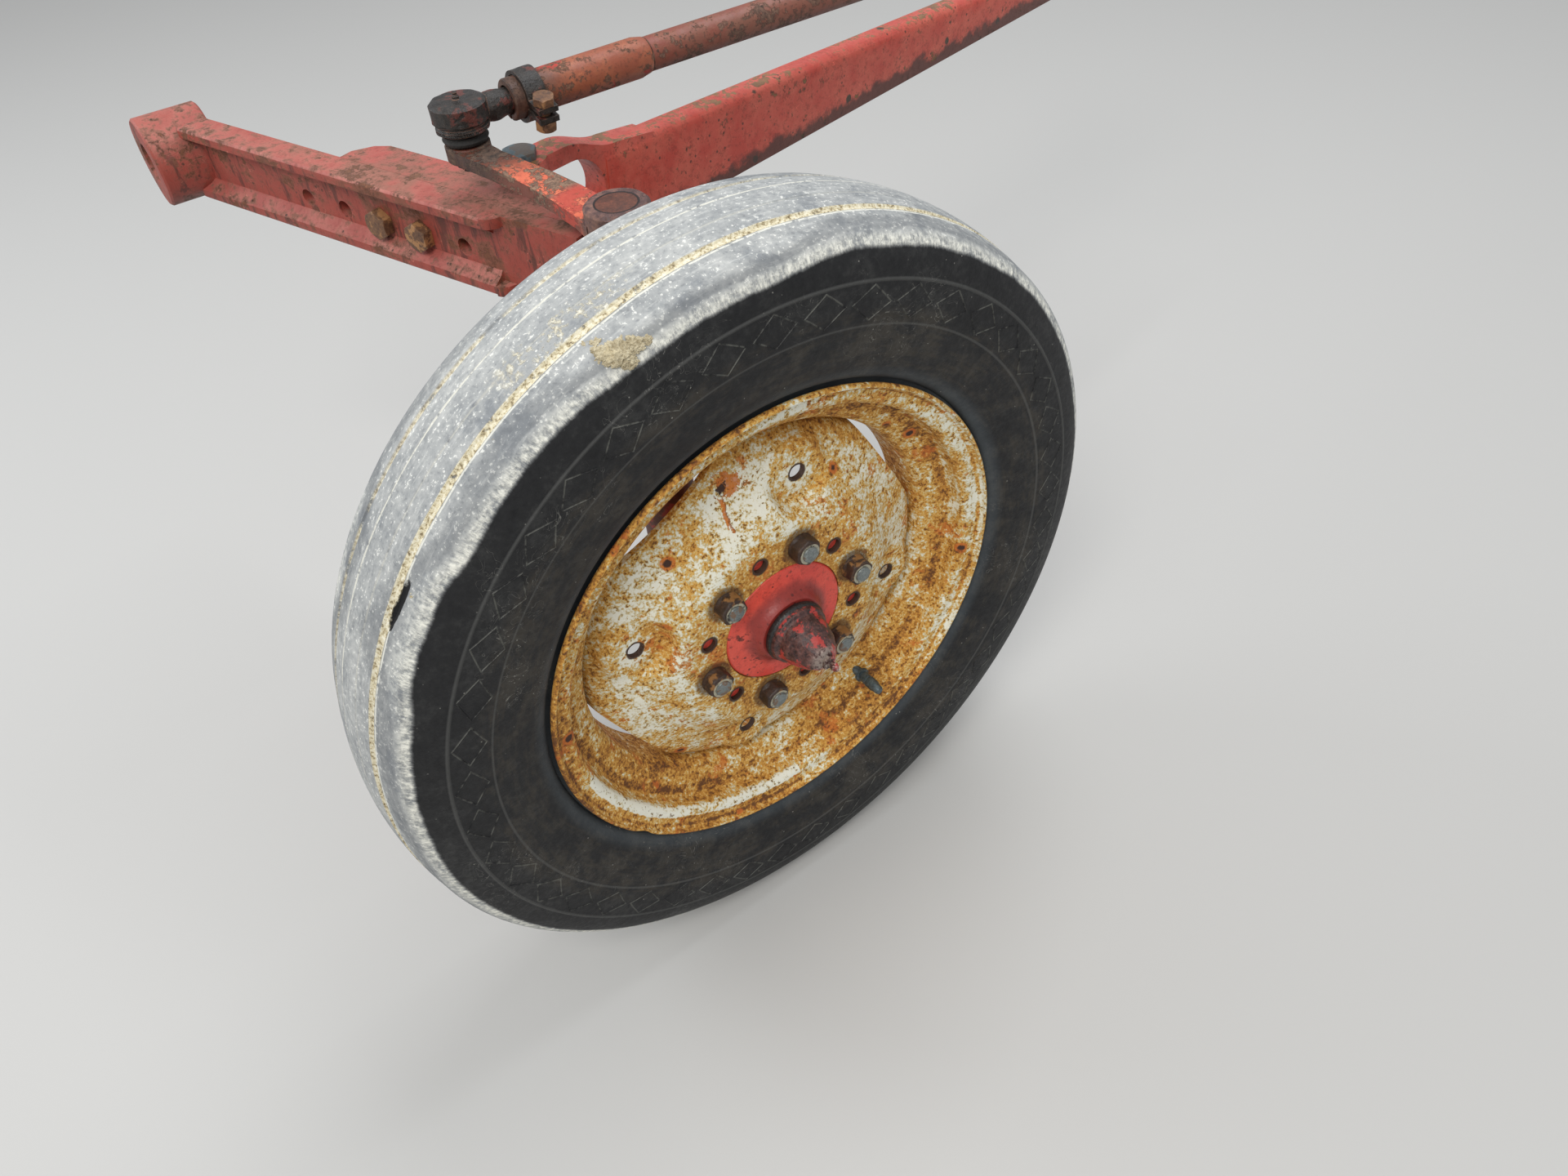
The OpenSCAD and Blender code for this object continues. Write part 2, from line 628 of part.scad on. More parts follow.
// radius over the corner's, share of the bearing's height
module thrust_bearing() {
    steps = [[-1, 0], [0, 0.063], [0, 0.413], [-1.6, 0.463], [-1.6, 0.538], [0, 0.588], [0, 0.938], [-1, 1]];
    color([0.28, 0.24, 0.22])
    translate([-kingpin_back, kingpin_out, -housing_bottom - gap - thrust_h]) difference() {
        rotate_extrude() polygon(concat([[0, 0]], [for (p = steps) [corner_r + p[0], thrust_h * p[1]]],
            [[0, thrust_h]]));
        translate([0, 0, -1]) cylinder(d = kingpin_d + 2 * run, h = thrust_h + 2);
    }
}

// STEERING ARM: a bar that leaves its boss level, bends up and swells into the ball stud's eye
// share of the arm's length, rear edge and front edge as shares of its width
arm_edges = [[0.058, 0.742, 0.742], [0.117, 0.606, 0.621], [0.187, 0.5, 0.503], [0.333, 0.485, 0.439],
    [0.49, 0.403, 0.436], [0.63, 0.27, 0.506], [0.782, 0.17, 0.585], [0.875, 0.242, 0.576],
    [0.98, 0.485, 0.542]];
// share of the arm's length, share of its rise
arm_bends = [[0, 0], [0.117, 0], [0.175, 0.023], [0.233, 0.1], [0.706, 0.9], [0.764, 0.977], [0.823, 1],
    [1, 1]];
module arm_plan() {
    polygon(concat([for (p = arm_edges) [arm_len * p[0], -arm_w * p[1]]],
        [for (i = [len(arm_edges) - 1 : -1 : 0]) [arm_len * arm_edges[i][0], arm_w * arm_edges[i][2]]]));
}

module arm_side() {
    low = [for (p = arm_bends) [arm_len * p[0], arm_z + arm_rise * p[1]]];
    polygon(concat(low, [for (i = [len(low) - 1 : -1 : 0]) [low[i][0], low[i][1] + arm_t]]));
}

// boss of a given height with its edges turned off, the lower and the upper by their own sizes
module turned_boss(d, h, low_edge, top_edge) {
    rotate_extrude() polygon([[0, 0], [d / 2 - low_edge, 0], [d / 2, low_edge], [d / 2, h - top_edge],
        [d / 2 - top_edge, h], [0, h]]);
}

module steering_arm() {
    boss_h = arm_boss_top - arm_boss_low;
    color([0.45, 0.2, 0.15])
    translate([-kingpin_back, kingpin_out, 0]) difference() {
        union() {
            translate([0, 0, arm_boss_low]) turned_boss(arm_boss_d, boss_h, 1, 2.4);
            rotate([0, 0, arm_angle]) intersection() {
                linear_extrude(height = 2 * arm_boss_top) arm_plan();
                translate([0, arm_boss_d, 0]) rotate([90, 0, 0]) linear_extrude(height = 2 * arm_boss_d) arm_side();
            }
            translate([ball_fwd, -ball_in, eye_z - eye_proud])
                turned_boss(arm_eye_d, arm_t + 2 * eye_proud, 1, 1);
        }
        translate([0, 0, arm_boss_low - 5]) cylinder(d = kingpin_d, h = boss_h + 10);
        translate([ball_fwd, -ball_in, eye_z - 5]) cylinder(r = stud_r, h = arm_t + 10);
    }
}

module dust_washer() {
    color([0.2, 0.16, 0.14])
    translate([-kingpin_back, kingpin_out, housing_top + gap]) difference() {
        cylinder(d = housing_od - 8, h = boss_gap - 2 * gap);
        translate([0, 0, -1]) cylinder(d = kingpin_d + 2 * run, h = 2 * boss_gap);
    }
}

// ball stud: ball, neck and a shank held in the arm's eye, with a thread below
module stud_body() {
    under = -eye_proud - nut_play;
    tip = under - stud_nut_h - 0.2;
    neck_top = ball_z - eye_z - ball_d / 2 + 3;
    sphere(d = ball_d);
    translate([0, 0, eye_z - ball_z]) rotate_extrude() polygon([[0, tip], [stud_neck_r - 1, tip],
        [stud_neck_r, tip + 1], [stud_neck_r, under - 0.1], [stud_r, under], [stud_r, arm_t + 4],
        [stud_neck_r, arm_t + 6.5], [stud_neck_r, neck_top], [0, neck_top]]);
}

module ball_stud() {
    color([0.35, 0.33, 0.32])
    translate([ball_x, ball_y, ball_z]) stud_body();
}

// castle nut under the arm's eye
module stud_nut() {
    color([0.16, 0.12, 0.1])
    translate([ball_x, ball_y, eye_z - eye_proud - nut_play - stud_nut_h]) difference() {
        union() {
            translate([0, 0, 3]) turned_hex(2.75 * stud_r, stud_nut_h - 3, true);
            cylinder(r = 1.125 * stud_r, h = 4);
        }
        translate([0, 0, -1]) cylinder(r = stud_neck_r, h = 20, $fn = 32);
        for (a = [0 : 60 : 120]) rotate([0, 0, a]) translate([-15, -1.6, -1]) cube([30, 3.2, 3.6]);
    }
}

// AXLE BEAM: a channel arm from the pivot eye, its flanges ending short of the web
module axle_beam() {
    corner = flange_end - flange_corner;
    color([0.55, 0.2, 0.17]) difference() {
        union() {
            rotate([0, 90, 0]) translate([0, 0, -pivot_len / 2]) turned_boss(pivot_od, pivot_len, 2, 2);
            on_arm() translate([beam_back, 30, -half_h]) cube([web_t, front_end - 30, axle_h]);
            on_arm() translate([0, corner, 0]) rotate([90, 0, 0]) linear_extrude(height = corner - 30)
                arm_section();
            on_arm() for (s = [-1, 1]) translate([beam_back, corner - 0.1, s * (half_h - flange_t / 2)]) {
                translate([0, 0, -flange_t / 2]) linear_extrude(height = flange_t) intersection() {
                    translate([flange_d - flange_corner, 0]) circle(r = flange_corner);
                    square([flange_d, flange_corner]);
                }
                translate([0, 0, -flange_t / 2]) cube([flange_d - flange_corner, flange_corner, flange_t]);
            }
        }
        translate([-pivot_len, 0, 0]) rotate([0, 90, 0]) cylinder(d = pivot_bore, h = 2 * pivot_len);
        on_arm() for (u = track_holes) translate([beam_back - 5, u, track_hole_z]) rotate([0, 90, 0])
            cylinder(d = track_hole, h = 60, $fn = 32);
    }
}

// channel section: web at the back, flanges thicker at their root
module arm_section() {
    upper = [[web_front, half_h - flange_root - 4], [web_front + 4, half_h - flange_root],
        [flange_front, half_h - flange_t], [flange_front, half_h - 2], [flange_front - 2, half_h],
        [beam_back, half_h]];
    polygon(concat(upper, [for (i = [5 : -1 : 0]) [upper[i][0], -upper[i][1]]]));
}

// AXLE EXTENSION: the rear arm, its ear for the radius rod and the tall kingpin housing
module axle_extension() {
    color([0.5, 0.18, 0.15]) difference() {
        union() {
            on_arm() translate([0, 0, -half_h]) linear_extrude(height = axle_h) polygon([
                [rear_front - 0.35 * rear_t, rear_start], [rear_front, rear_start],
                [rear_front, front_end + gap], [king_v + 8, king_u - 10], [king_v - 24, king_u - 14],
                [rear_back, front_end - 60], [rear_back, rear_start + 0.7 * rear_t],
                [rear_front - 0.81 * rear_t, rear_start + 0.32 * rear_t]]);
            on_arm() translate([0, 0, boss_proud - half_h]) linear_extrude(height = ear_h - 2 * boss_proud) polygon([
                [rear_front - 10, ear_u - ear_web], [rear_front - 10, ear_u + ear_web],
                [rear_back + 2, ear_u + 0.9 * ear_web],
                [ear_v + 8, ear_u + ear_d / 2 - 3], [ear_v, ear_u], [ear_v + 8, ear_u - ear_d / 2 + 3],
                [rear_back + 2, ear_u - 0.9 * ear_web]]);
            translate([-rod_back, rod_out, gap - half_h]) cylinder(d = ear_d, h = ear_h + 2);
            translate([-kingpin_back, kingpin_out, -housing_bottom])
                turned_boss(housing_od, housing_bottom + housing_top, 1, 2);
            on_arm() translate([rear_front - gusset_t - 2, 0, 0]) rotate([90, 0, 90])
                linear_extrude(height = gusset_t) polygon([[king_u - 70, 5 - half_h],
                [king_u - 10, 5 - half_h], [king_u - 10, 22 - housing_bottom], [king_u - 24, 26 - housing_bottom],
                [king_u - 34, -half_h - 50], [king_u - 48, -half_h - 16]]);
        }
        translate([-rod_back, rod_out, ear_top]) cylinder(r = ear_d / 2 + 3, h = half_h);
        translate([-kingpin_back, kingpin_out, -housing_bottom - 10])
            cylinder(d = kingpin_d + 2 * bush_t, h = housing_bottom + housing_top + 20);
        translate([-rod_back, rod_out, -half_h - 10]) cylinder(d = rod_bolt_d, h = axle_h + 20, $fn = 48);
        on_arm() for (u = track_holes) if (u > rear_start + track_hole)
            translate([rear_back - 5, u, track_hole_z]) rotate([0, 90, 0])
            cylinder(d = track_hole, h = rear_t + 10, $fn = 32);
    }
}

module kingpin_bushes() {
    color([0.6, 0.48, 0.25])
    translate([-kingpin_back, kingpin_out, 0]) for (z = [housing_top - bush_len, -housing_bottom])
        translate([0, 0, z]) difference() {
            cylinder(d = kingpin_d + 2 * bush_t, h = bush_len);
            translate([0, 0, -1]) cylinder(d = kingpin_d + 2 * run, h = bush_len + 2);
        }
}

// bolts that hold the two arms together, heads in the channel
module track_bolts() {
    tail = track_nut_h + 0.31 * track_hole;
    color([0.3, 0.2, 0.16])
    on_arm() for (u = bolt_holes) translate([0, u, track_hole_z]) rotate([0, 90, 0]) {
        translate([0, 0, web_front + nut_play]) turned_hex(track_head_af, track_head_h);
        translate([0, 0, rear_back - tail]) cylinder(d = track_hole, h = web_front - rear_back + tail + 1);
    }
}

module track_nuts() {
    color([0.3, 0.2, 0.16])
    on_arm() for (u = bolt_holes) translate([rear_back - nut_play, u, track_hole_z]) rotate([0, -90, 0])
        difference() {
            turned_hex(track_head_af, track_nut_h);
            translate([0, 0, -1]) cylinder(d = track_hole, h = track_nut_h + 5);
        }
}

// place along the radius rod, level: X runs from the front bolt's axis to the rear ball's
module on_rod(z = 0) {
    translate([-rod_back, rod_out, z]) rotate([0, 0, rod_yaw]) children();
}

// the same, tilted so that X runs along the bar's back
module on_bar() {
    translate([-rod_back, rod_out, bar_top]) rotate([0, bar_fall, rod_yaw]) children();
}

// section of the bar below its back, with the two edges rounded
module bar_section(depth) {
    half = rod_w / 2;
    for (s = [-1, 1]) translate([s * (half - rod_round), -rod_round]) circle(r = rod_round, $fn = 40);
    translate([-half, -depth]) square([rod_w, depth - rod_round]);
    translate([rod_round - half, -depth]) square([rod_w - 2 * rod_round, depth]);
}

// the fork's outline from the side, with the arched gap behind the ear
module fork_outline() {
    plate = fork_eye - boss_proud;
    level = 36;
    top_end = bar_top - 96 * tan(bar_fall) + 3;
    low_end = 1 - rod_low;
    difference() {
        polygon(concat([[4, ear_mid - plate], [4, ear_mid + plate]],
            [for (t = [0 : 0.1 : 1]) [level + 60 * t, blend(ear_mid + plate, top_end, t)]],
            [[bar_start + 60, bar_top - (bar_start + 60) * tan(bar_fall) - 1], [bar_start + 60, low_end]],
            [for (t = [1 : -0.1 : 0]) [level + 64 * t, blend(ear_mid - plate, low_end, t)]]));
        translate([-40, ear_mid - fork_gap]) square([40 + fork_arch, 2 * fork_gap]);
        translate([fork_arch, ear_mid]) circle(r = fork_gap);
    }
}

// RADIUS ROD: a fork round the axle's ear, a tapered bar hollow from below and a necked rear end
module radius_rod() {
    depth = bar_top + rod_low + 20;
    inner = rod_w - 2 * rod_wall;
    color([0.62, 0.22, 0.18]) difference() {
        union() {
            intersection() {
                on_bar() difference() {
                    rotate([90, 0, 90]) translate([0, 0, bar_start]) linear_extrude(height = bar_end - bar_start)
                        bar_section(depth);
                    translate([bar_start + 40, -inner / 2, -depth - 1])
                        cube([bar_end - bar_start - 110, inner, depth + 1 - rod_wall]);
                }
                on_rod(-rod_low) linear_extrude(height = 2 * rod_low) polygon([[0, -rod_w], [0, rod_w],
                    [bar_end - 66, rod_w / 2 + 1], [bar_end + 9, rod_neck_r + 0.5],
                    [bar_end + 9, -rod_neck_r - 0.5], [bar_end - 66, -rod_w / 2 - 1]]);
            }
            on_rod(-rod_end_drop) translate([bar_end - 14, 0, 0]) rotate([0, 90, 0])
                cylinder(r = rod_neck_r, h = rod_flat - bar_end + 4);
            on_rod() translate([0, rod_w / 2 - 1, 0]) rotate([90, 0, 0]) linear_extrude(height = rod_w - 2)
                fork_outline();
            for (s = [-1, 1]) on_rod(ear_mid + s * (fork_half + fork_t / 2) - fork_t / 2)
                cylinder(d = ear_d, h = fork_t);
        }
        on_rod(ear_mid - 2 * fork_eye) cylinder(d = rod_bolt_d, h = 4 * fork_eye, $fn = 48);
        translate([-rod_end_back, rod_end_out, -rod_end_drop]) sphere(d = rod_ball_d);
    }
}

module rod_bolt() {
    color([0.3, 0.34, 0.36])
    translate([-rod_back, rod_out, ear_mid]) {
        translate([0, 0, fork_eye + nut_play]) turned_hex(rod_head_af, rod_head_h);
        translate([0, 0, -fork_eye - 1.1 * rod_bolt_d]) cylinder(d = rod_bolt_d,
            h = 2 * fork_eye + 1.1 * rod_bolt_d + 1, $fn = 48);
    }
}

module rod_nut() {
    color([0.3, 0.22, 0.18])
    translate([-rod_back, rod_out, ear_mid - fork_eye - nut_play]) mirror([0, 0, 1]) difference() {
        turned_hex(1.5 * rod_bolt_d, 0.84 * rod_bolt_d);
        translate([0, 0, -1]) cylinder(d = rod_bolt_d, h = rod_bolt_d + 2, $fn = 48);
    }
}

module rod_ball() {
    color([0.4, 0.38, 0.36])
    translate([-rod_end_back, rod_end_out, -rod_end_drop]) sphere(d = rod_ball_d);
}

// DRAG LINK: joint housing with its shank, sleeve, tube and the matching rear end
module at_both_ends() {
    translate([ball_x, ball_y, ball_z]) children();
    translate([ball_x - link_len, ball_y, ball_z]) mirror([1, 0, 0]) children();
}

// share of the housing's radius, share of its height; the last points are its grease nipple
joint_line = [[0, 0], [0.83, 0], [0.957, 0.078], [0.957, 0.216], [0.872, 0.275], [0.872, 0.333],
    [1, 0.373], [1, 0.882], [0.915, 0.961], [0.787, 1], [0.145, 1], [0.145, 1.078], [0.094, 1.118],
    [0.115, 1.196], [0.043, 1.235], [0, 1.235]];
module joint_body() {
    r = joint_d / 2;
    difference() {
        union() {
            translate([0, 0, -joint_low]) rotate_extrude() polygon(scaled(joint_line, r, joint_h));
            rotate([0, -90, 0]) rotate_extrude() polygon([[0, 0], [0.99 * joint_low, 0],
                [0.99 * joint_low, 0.85 * r], [1.145 * shank_r, 1.085 * r], [1.127 * shank_r, 1.255 * r],
                [shank_r, 1.6 * r], [shank_r, shank_len], [0, shank_len]]);
        }
        sphere(r = ball_d / 2 + run);
        translate([0, 0, -1.1 * joint_low]) cylinder(r = 1.415 * stud_neck_r, h = 0.75 * joint_low);
    }
}

module link_front() {
    color([0.14, 0.12, 0.11])
    translate([ball_x, ball_y, ball_z]) joint_body();
}

module link_rear() {
    color([0.14, 0.12, 0.11])
    translate([ball_x - link_len, ball_y, ball_z]) mirror([1, 0, 0]) joint_body();
}

// slit sleeves that take the shanks
module link_sleeve() {
    len = sleeve_end - sleeve_start;
    color([0.5, 0.3, 0.22]) at_both_ends() difference() {
        translate([-sleeve_start, 0, 0]) rotate([0, -90, 0]) rotate_extrude() polygon([[shank_r + gap, 0],
            [sleeve_d / 2 - 1, 0], [sleeve_d / 2, 1], [sleeve_d / 2, len - 10],
            [tube_d / 2 + 0.5, len], [shank_r + gap, len]]);
        translate([-sleeve_start - sleeve_slot, -1.5, -sleeve_d]) cube([sleeve_slot + 2, 3, sleeve_d]);
    }
}

module link_tube() {
    len = link_len - 2 * sleeve_end - 2 * gap;
    color([0.5, 0.3, 0.22])
    translate([ball_x - sleeve_end - gap, ball_y, ball_z]) rotate([0, -90, 0]) rotate_extrude() polygon([
        [0, 0], [tube_d / 2 - 0.5, 0], [tube_d / 2, 0.5], [tube_d / 2, len - 0.5], [tube_d / 2 - 0.5, len], [0, len]]);
}

// split bands with two ears outboard that close on the sleeves
module link_clamps() {
    r = sleeve_d / 2;
    color([0.2, 0.16, 0.13]) at_both_ends() translate([-sleeve_start - clamp_at, 0, 0])
        rotate([-clamp_tilt, 0, 0]) difference() {
            rotate([0, -90, 0]) union() {
                cylinder(r = r + clamp_t, h = clamp_w);
                translate([-clamp_ear_h / 2, 0, 0]) cube([clamp_ear_h, r + clamp_ear, clamp_w]);
            }
            translate([1, 0, 0]) rotate([0, -90, 0]) cylinder(r = r + gap / 2, h = clamp_w + 2);
            translate([-clamp_w - 1, 0, -1.5]) cube([clamp_w + 2, r + clamp_ear + 1, 3]);
            translate([-clamp_w / 2, r + clamp_bolt_out, -clamp_w])
                cylinder(d = clamp_bolt_d + 0.4, h = 2 * clamp_w, $fn = 32);
        }
}

module clamp_bolts() {
    af = 1.78 * clamp_bolt_d;
    low = -clamp_ear_h / 2;
    color([0.3, 0.24, 0.18]) at_both_ends() rotate([-clamp_tilt, 0, 0])
        translate([-sleeve_start - clamp_at - clamp_w / 2, sleeve_d / 2 + clamp_bolt_out, 0]) {
            translate([0, 0, nut_play - low]) turned_hex(af, 0.72 * clamp_bolt_d);
            translate([0, 0, low - 1.1 * clamp_bolt_d])
                cylinder(d = clamp_bolt_d, h = clamp_ear_h + 1.3 * clamp_bolt_d, $fn = 32);
            translate([0, 0, low - nut_play]) mirror([0, 0, 1]) turned_hex(af, 0.89 * clamp_bolt_d);
        }
}

// dust boots between the housings and the studs' seats
module link_boots() {
    seat = eye_z + arm_t + eye_proud + seat_gap;
    // share of the joint housing's radius, share of the boot's height
    boot = [[0, 0], [0.6, 0], [0.745, 0.18], [0.81, 0.5], [0.745, 0.84], [0.787, 1], [0, 1]];
    color([0.07, 0.07, 0.07]) for (x = [ball_x, ball_x - link_len]) translate([x, ball_y, seat]) difference() {
        rotate_extrude() polygon(scaled(boot, joint_d / 2, boot_h));
        translate([0, 0, -1]) cylinder(r = stud_r + 0.6, h = boot_h + 2);
    }
}

module rear_stud() {
    color([0.35, 0.33, 0.32])
    translate([ball_x - link_len, ball_y, ball_z]) stud_body();
}

tyre();
rim();
disc();
hub();
hub_bearings();
hub_seal();
grease_cap();
wheel_studs();
wheel_nuts();
valve_stem();
valve_cap();
spindle();
spindle_nut();
thrust_bearing();
steering_arm();
dust_washer();
ball_stud();
stud_nut();
axle_beam();
axle_extension();
kingpin_bushes();
track_bolts();
track_nuts();
radius_rod();
rod_bolt();
rod_nut();
rod_ball();
link_front();
link_sleeve();
link_tube();
link_clamps();
clamp_bolts();
link_boots();
link_rear();
rear_stud();
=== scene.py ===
import json
import math

import bmesh
import bpy
from mathutils import Matrix, Vector, noise

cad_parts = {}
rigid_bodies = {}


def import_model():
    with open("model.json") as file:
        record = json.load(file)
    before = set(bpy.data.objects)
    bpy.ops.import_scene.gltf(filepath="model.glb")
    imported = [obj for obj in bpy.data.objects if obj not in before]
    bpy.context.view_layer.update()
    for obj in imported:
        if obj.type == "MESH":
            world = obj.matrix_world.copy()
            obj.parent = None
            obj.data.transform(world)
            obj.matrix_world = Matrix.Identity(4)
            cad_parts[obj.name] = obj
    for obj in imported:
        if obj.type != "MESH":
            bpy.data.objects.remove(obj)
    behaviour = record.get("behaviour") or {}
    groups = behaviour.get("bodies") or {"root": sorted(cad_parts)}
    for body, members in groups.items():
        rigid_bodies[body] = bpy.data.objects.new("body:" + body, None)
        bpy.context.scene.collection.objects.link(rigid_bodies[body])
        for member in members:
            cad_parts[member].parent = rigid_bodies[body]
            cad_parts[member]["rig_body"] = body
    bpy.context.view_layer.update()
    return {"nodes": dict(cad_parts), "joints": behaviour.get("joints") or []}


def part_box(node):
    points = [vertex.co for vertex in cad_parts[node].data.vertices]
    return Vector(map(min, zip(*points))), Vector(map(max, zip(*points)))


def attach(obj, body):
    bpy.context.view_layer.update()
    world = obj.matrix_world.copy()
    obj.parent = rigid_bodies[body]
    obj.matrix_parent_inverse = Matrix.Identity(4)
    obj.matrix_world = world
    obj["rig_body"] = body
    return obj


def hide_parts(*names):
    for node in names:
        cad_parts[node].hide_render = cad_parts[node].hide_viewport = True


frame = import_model()

joints = {j["name"]: j for j in frame["joints"]}
WHEEL = Vector(joints["roll"]["pos_m"])  # middle of the wheel on its axis
BALL = Vector(joints["link_turn"]["pos_m"])  # centre of the steering arm's ball
KINGPIN = Vector(joints["steer"]["pos_m"])
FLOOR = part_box("tyre")[0][2]
DISC_FACE = 0.0505  # disc's outer face at the hub, from the wheel's middle
TURN = math.radians(-16.3)  # turn of the wheel at rest
STUD_CIRCLE = 0.0762  # radius of the circle of studs and vents
PAD_CIRCLE = 0.133  # radius of the circle of the four raised pads and their holes
OUT = Vector((0, 1, 0))
UP = Vector((0, 0, 1))

# the tyre's section, in metres
TREAD_TOP = 0.346  # radius of the tread at its middle
TREAD_FALL = 0.0075  # drop of the radius to the tread's edge
TREAD_HALF = 0.050  # offset of the tread's edge
WIDEST = 0.288  # radius at which the tyre is widest
SHOULDER_HEIGHT = 0.0505
SHOULDER_REACH = 0.0215
SIDE_START = 0.0528
SIDE_REACH = 0.0187
SIDE_DROP = 0.0645
RIDGE = 0.3058  # radius of the thin moulded ridge above the diamonds
DIAMOND_RING = 0.290
DIAMONDS = 44  # on each side
GASH_TURN = math.radians(55.2)
GASH_OFFSET = 0.0375


def screen(red, green, blue):
    """A colour as it looks on screen, 0 to 255, as a shader colour."""
    linear = [c / 3294.6 if c <= 10 else ((c / 255 + 0.055) / 1.055) ** 2.4 for c in (red, green, blue)]
    return (*linear, 1.0)


class Value:
    """One output of a finish's nodes. Arithmetic on it adds Math nodes."""

    def __init__(self, finish, socket):
        self.finish = finish
        self.socket = socket

    def math(self, operation, *terms):
        return self.finish.node("ShaderNodeMath", {"operation": operation}, dict(enumerate(terms)))

    def __add__(self, other):
        return self.math("ADD", self, other)

    def __radd__(self, other):
        return self.math("ADD", other, self)

    def __sub__(self, other):
        return self.math("SUBTRACT", self, other)

    def __rsub__(self, other):
        return self.math("SUBTRACT", other, self)

    def __mul__(self, other):
        return self.math("MULTIPLY", self, other)

    def __abs__(self):
        return self.of("ABSOLUTE")

    def of(self, operation):
        return self.math(operation, self)

    def either(self, other):
        return self.math("MAXIMUM", self, other)

    def step(self, start, end):
        """0 before start and 1 after end, with a soft rise, or a fall where end is lower."""
        sockets = {"Value": self, "From Min": start, "From Max": end}
        return self.finish.node("ShaderNodeMapRange", {"interpolation_type": "SMOOTHSTEP"}, sockets)

    def band(self, middle, half, soft):
        """1 within half of the middle, falling to 0 over soft."""
        return abs(self - middle).step(half + soft, half)


class Finish:
    """A surface finish: a material whose nodes end in one Principled shader."""

    def __init__(self, name):
        self.material = bpy.data.materials.new(name)
        self.material.use_nodes = True
        self.tree = self.material.node_tree
        self.tree.nodes.clear()
        self.shader = self.tree.nodes.new("ShaderNodeBsdfPrincipled")
        surface = self.tree.nodes.new("ShaderNodeOutputMaterial").inputs["Surface"]
        self.tree.links.new(self.shader.outputs[0], surface)
        self.place = self.node("ShaderNodeTexCoord", output="Object")

    def fill(self, node, sockets):
        for key, value in sockets.items():
            if isinstance(value, Value):
                self.tree.links.new(value.socket, node.inputs[key])
            else:
                node.inputs[key].default_value = value

    def node(self, kind, settings=None, sockets=None, output=0):
        """Adds a node: first its settings, then the values or links of its sockets."""
        made = self.tree.nodes.new(kind)
        for key, value in (settings or {}).items():
            if key == "stops":
                ramp = made.color_ramp.elements
                while len(ramp) < len(value):
                    ramp.new(1.0)
                for element, (position, colour) in zip(ramp, value):
                    element.position = position
                    element.color = screen(*colour)
            else:
                setattr(made, key, value)
        self.fill(made, sockets or {})
        if isinstance(output, tuple):
            return [Value(self, made.outputs[o]) for o in output]
        return Value(self, made.outputs[output])

    def dress(self, sockets):
        self.fill(self.shader, sockets)
        return self

    def noise(self, size, detail=4.0, rough=0.55, place=None, warp=0.0):
        """Mottling whose patches are about size metres across."""
        look = {"Scale": 0.5 / size, "Detail": detail, "Roughness": rough, "Distortion": warp}
        return self.node("ShaderNodeTexNoise", {}, {"Vector": place or self.place, **look})

    def cells(self, size):
        """Distance to the nearest of scattered points about size metres apart, as a share of size."""
        return self.node("ShaderNodeTexVoronoi", {}, {"Vector": self.place, "Scale": 1.0 / size})

    def attribute(self, name):
        """A value that is stored on the piece's own mesh."""
        return self.node("ShaderNodeAttribute", {"attribute_name": name}, output="Fac")

    def mix(self, share, first, second):
        """Blends a colour towards a second one, which may be given as it looks on screen."""
        if not isinstance(second, Value):
            second = screen(*second)
        return self.node("ShaderNodeMix", {"data_type": "RGBA"}, {0: share, 6: first, 7: second}, 2)

    def ramp(self, value, stops):
        """The colour at a value, from stops of a position and a colour as it looks on screen."""
        return self.node("ShaderNodeValToRGB", {"stops": stops}, {0: value})

    def bump(self, height, depth, below=None):
        """Relief of depth metres where height goes from 0 to 1."""
        sockets = {"Height": height, "Distance": depth, "Strength": 1.0}
        if below is not None:
            sockets["Normal"] = below
        return self.node("ShaderNodeBump", {}, sockets)

    def shift(self, point):
        return self.node("ShaderNodeVectorMath", {"operation": "SUBTRACT"}, {0: self.place, 1: point})

    def away(self, point):
        """Distance from a point, in metres."""
        ends = {0: self.place, 1: point}
        return self.node("ShaderNodeVectorMath", {"operation": "DISTANCE"}, ends, "Value")

    def parts(self, vector):
        return self.node("ShaderNodeSeparateXYZ", {}, {0: vector}, (0, 1, 2))

    def about(self, point):
        """Distance from the upright line through a point."""
        x, y, _ = self.parts(self.shift(point))
        return (x * x + y * y).of("SQRT")

    def off_ring(self, radius, angle, circle, count, start):
        """Distance from the nearest of count points on a circle about the axle."""
        turn = ((angle - start) * (count / (2 * math.pi)) + 0.5).of("FRACT")
        turn = (turn - 0.5) * (2 * math.pi / count)
        across = radius * turn.of("SINE")
        out = radius * turn.of("COSINE") - circle
        return (across * across + out * out).of("SQRT")

    def about_axle(self):
        """Radius, angle and offset of a point about the wheel's axis."""
        x, y, z = self.parts(self.shift(WHEEL))
        return (x * x + z * z).of("SQRT"), x.math("ARCTAN2", x, z), y

    def stretched(self, x, y, z):
        return self.node("ShaderNodeCombineXYZ", {}, {0: x, 1: y, 2: z})


def at_clock(point, angle):
    """Turns a point about the wheel's axis, angle counted from the top towards the front."""
    return WHEEL + Matrix.Rotation(angle, 3, "Y") @ (point - WHEEL)


# FINISHES

def shade(colour, share):
    """A colour made darker, or brighter where share is above 1."""
    return tuple(min(255, c * share) for c in colour)


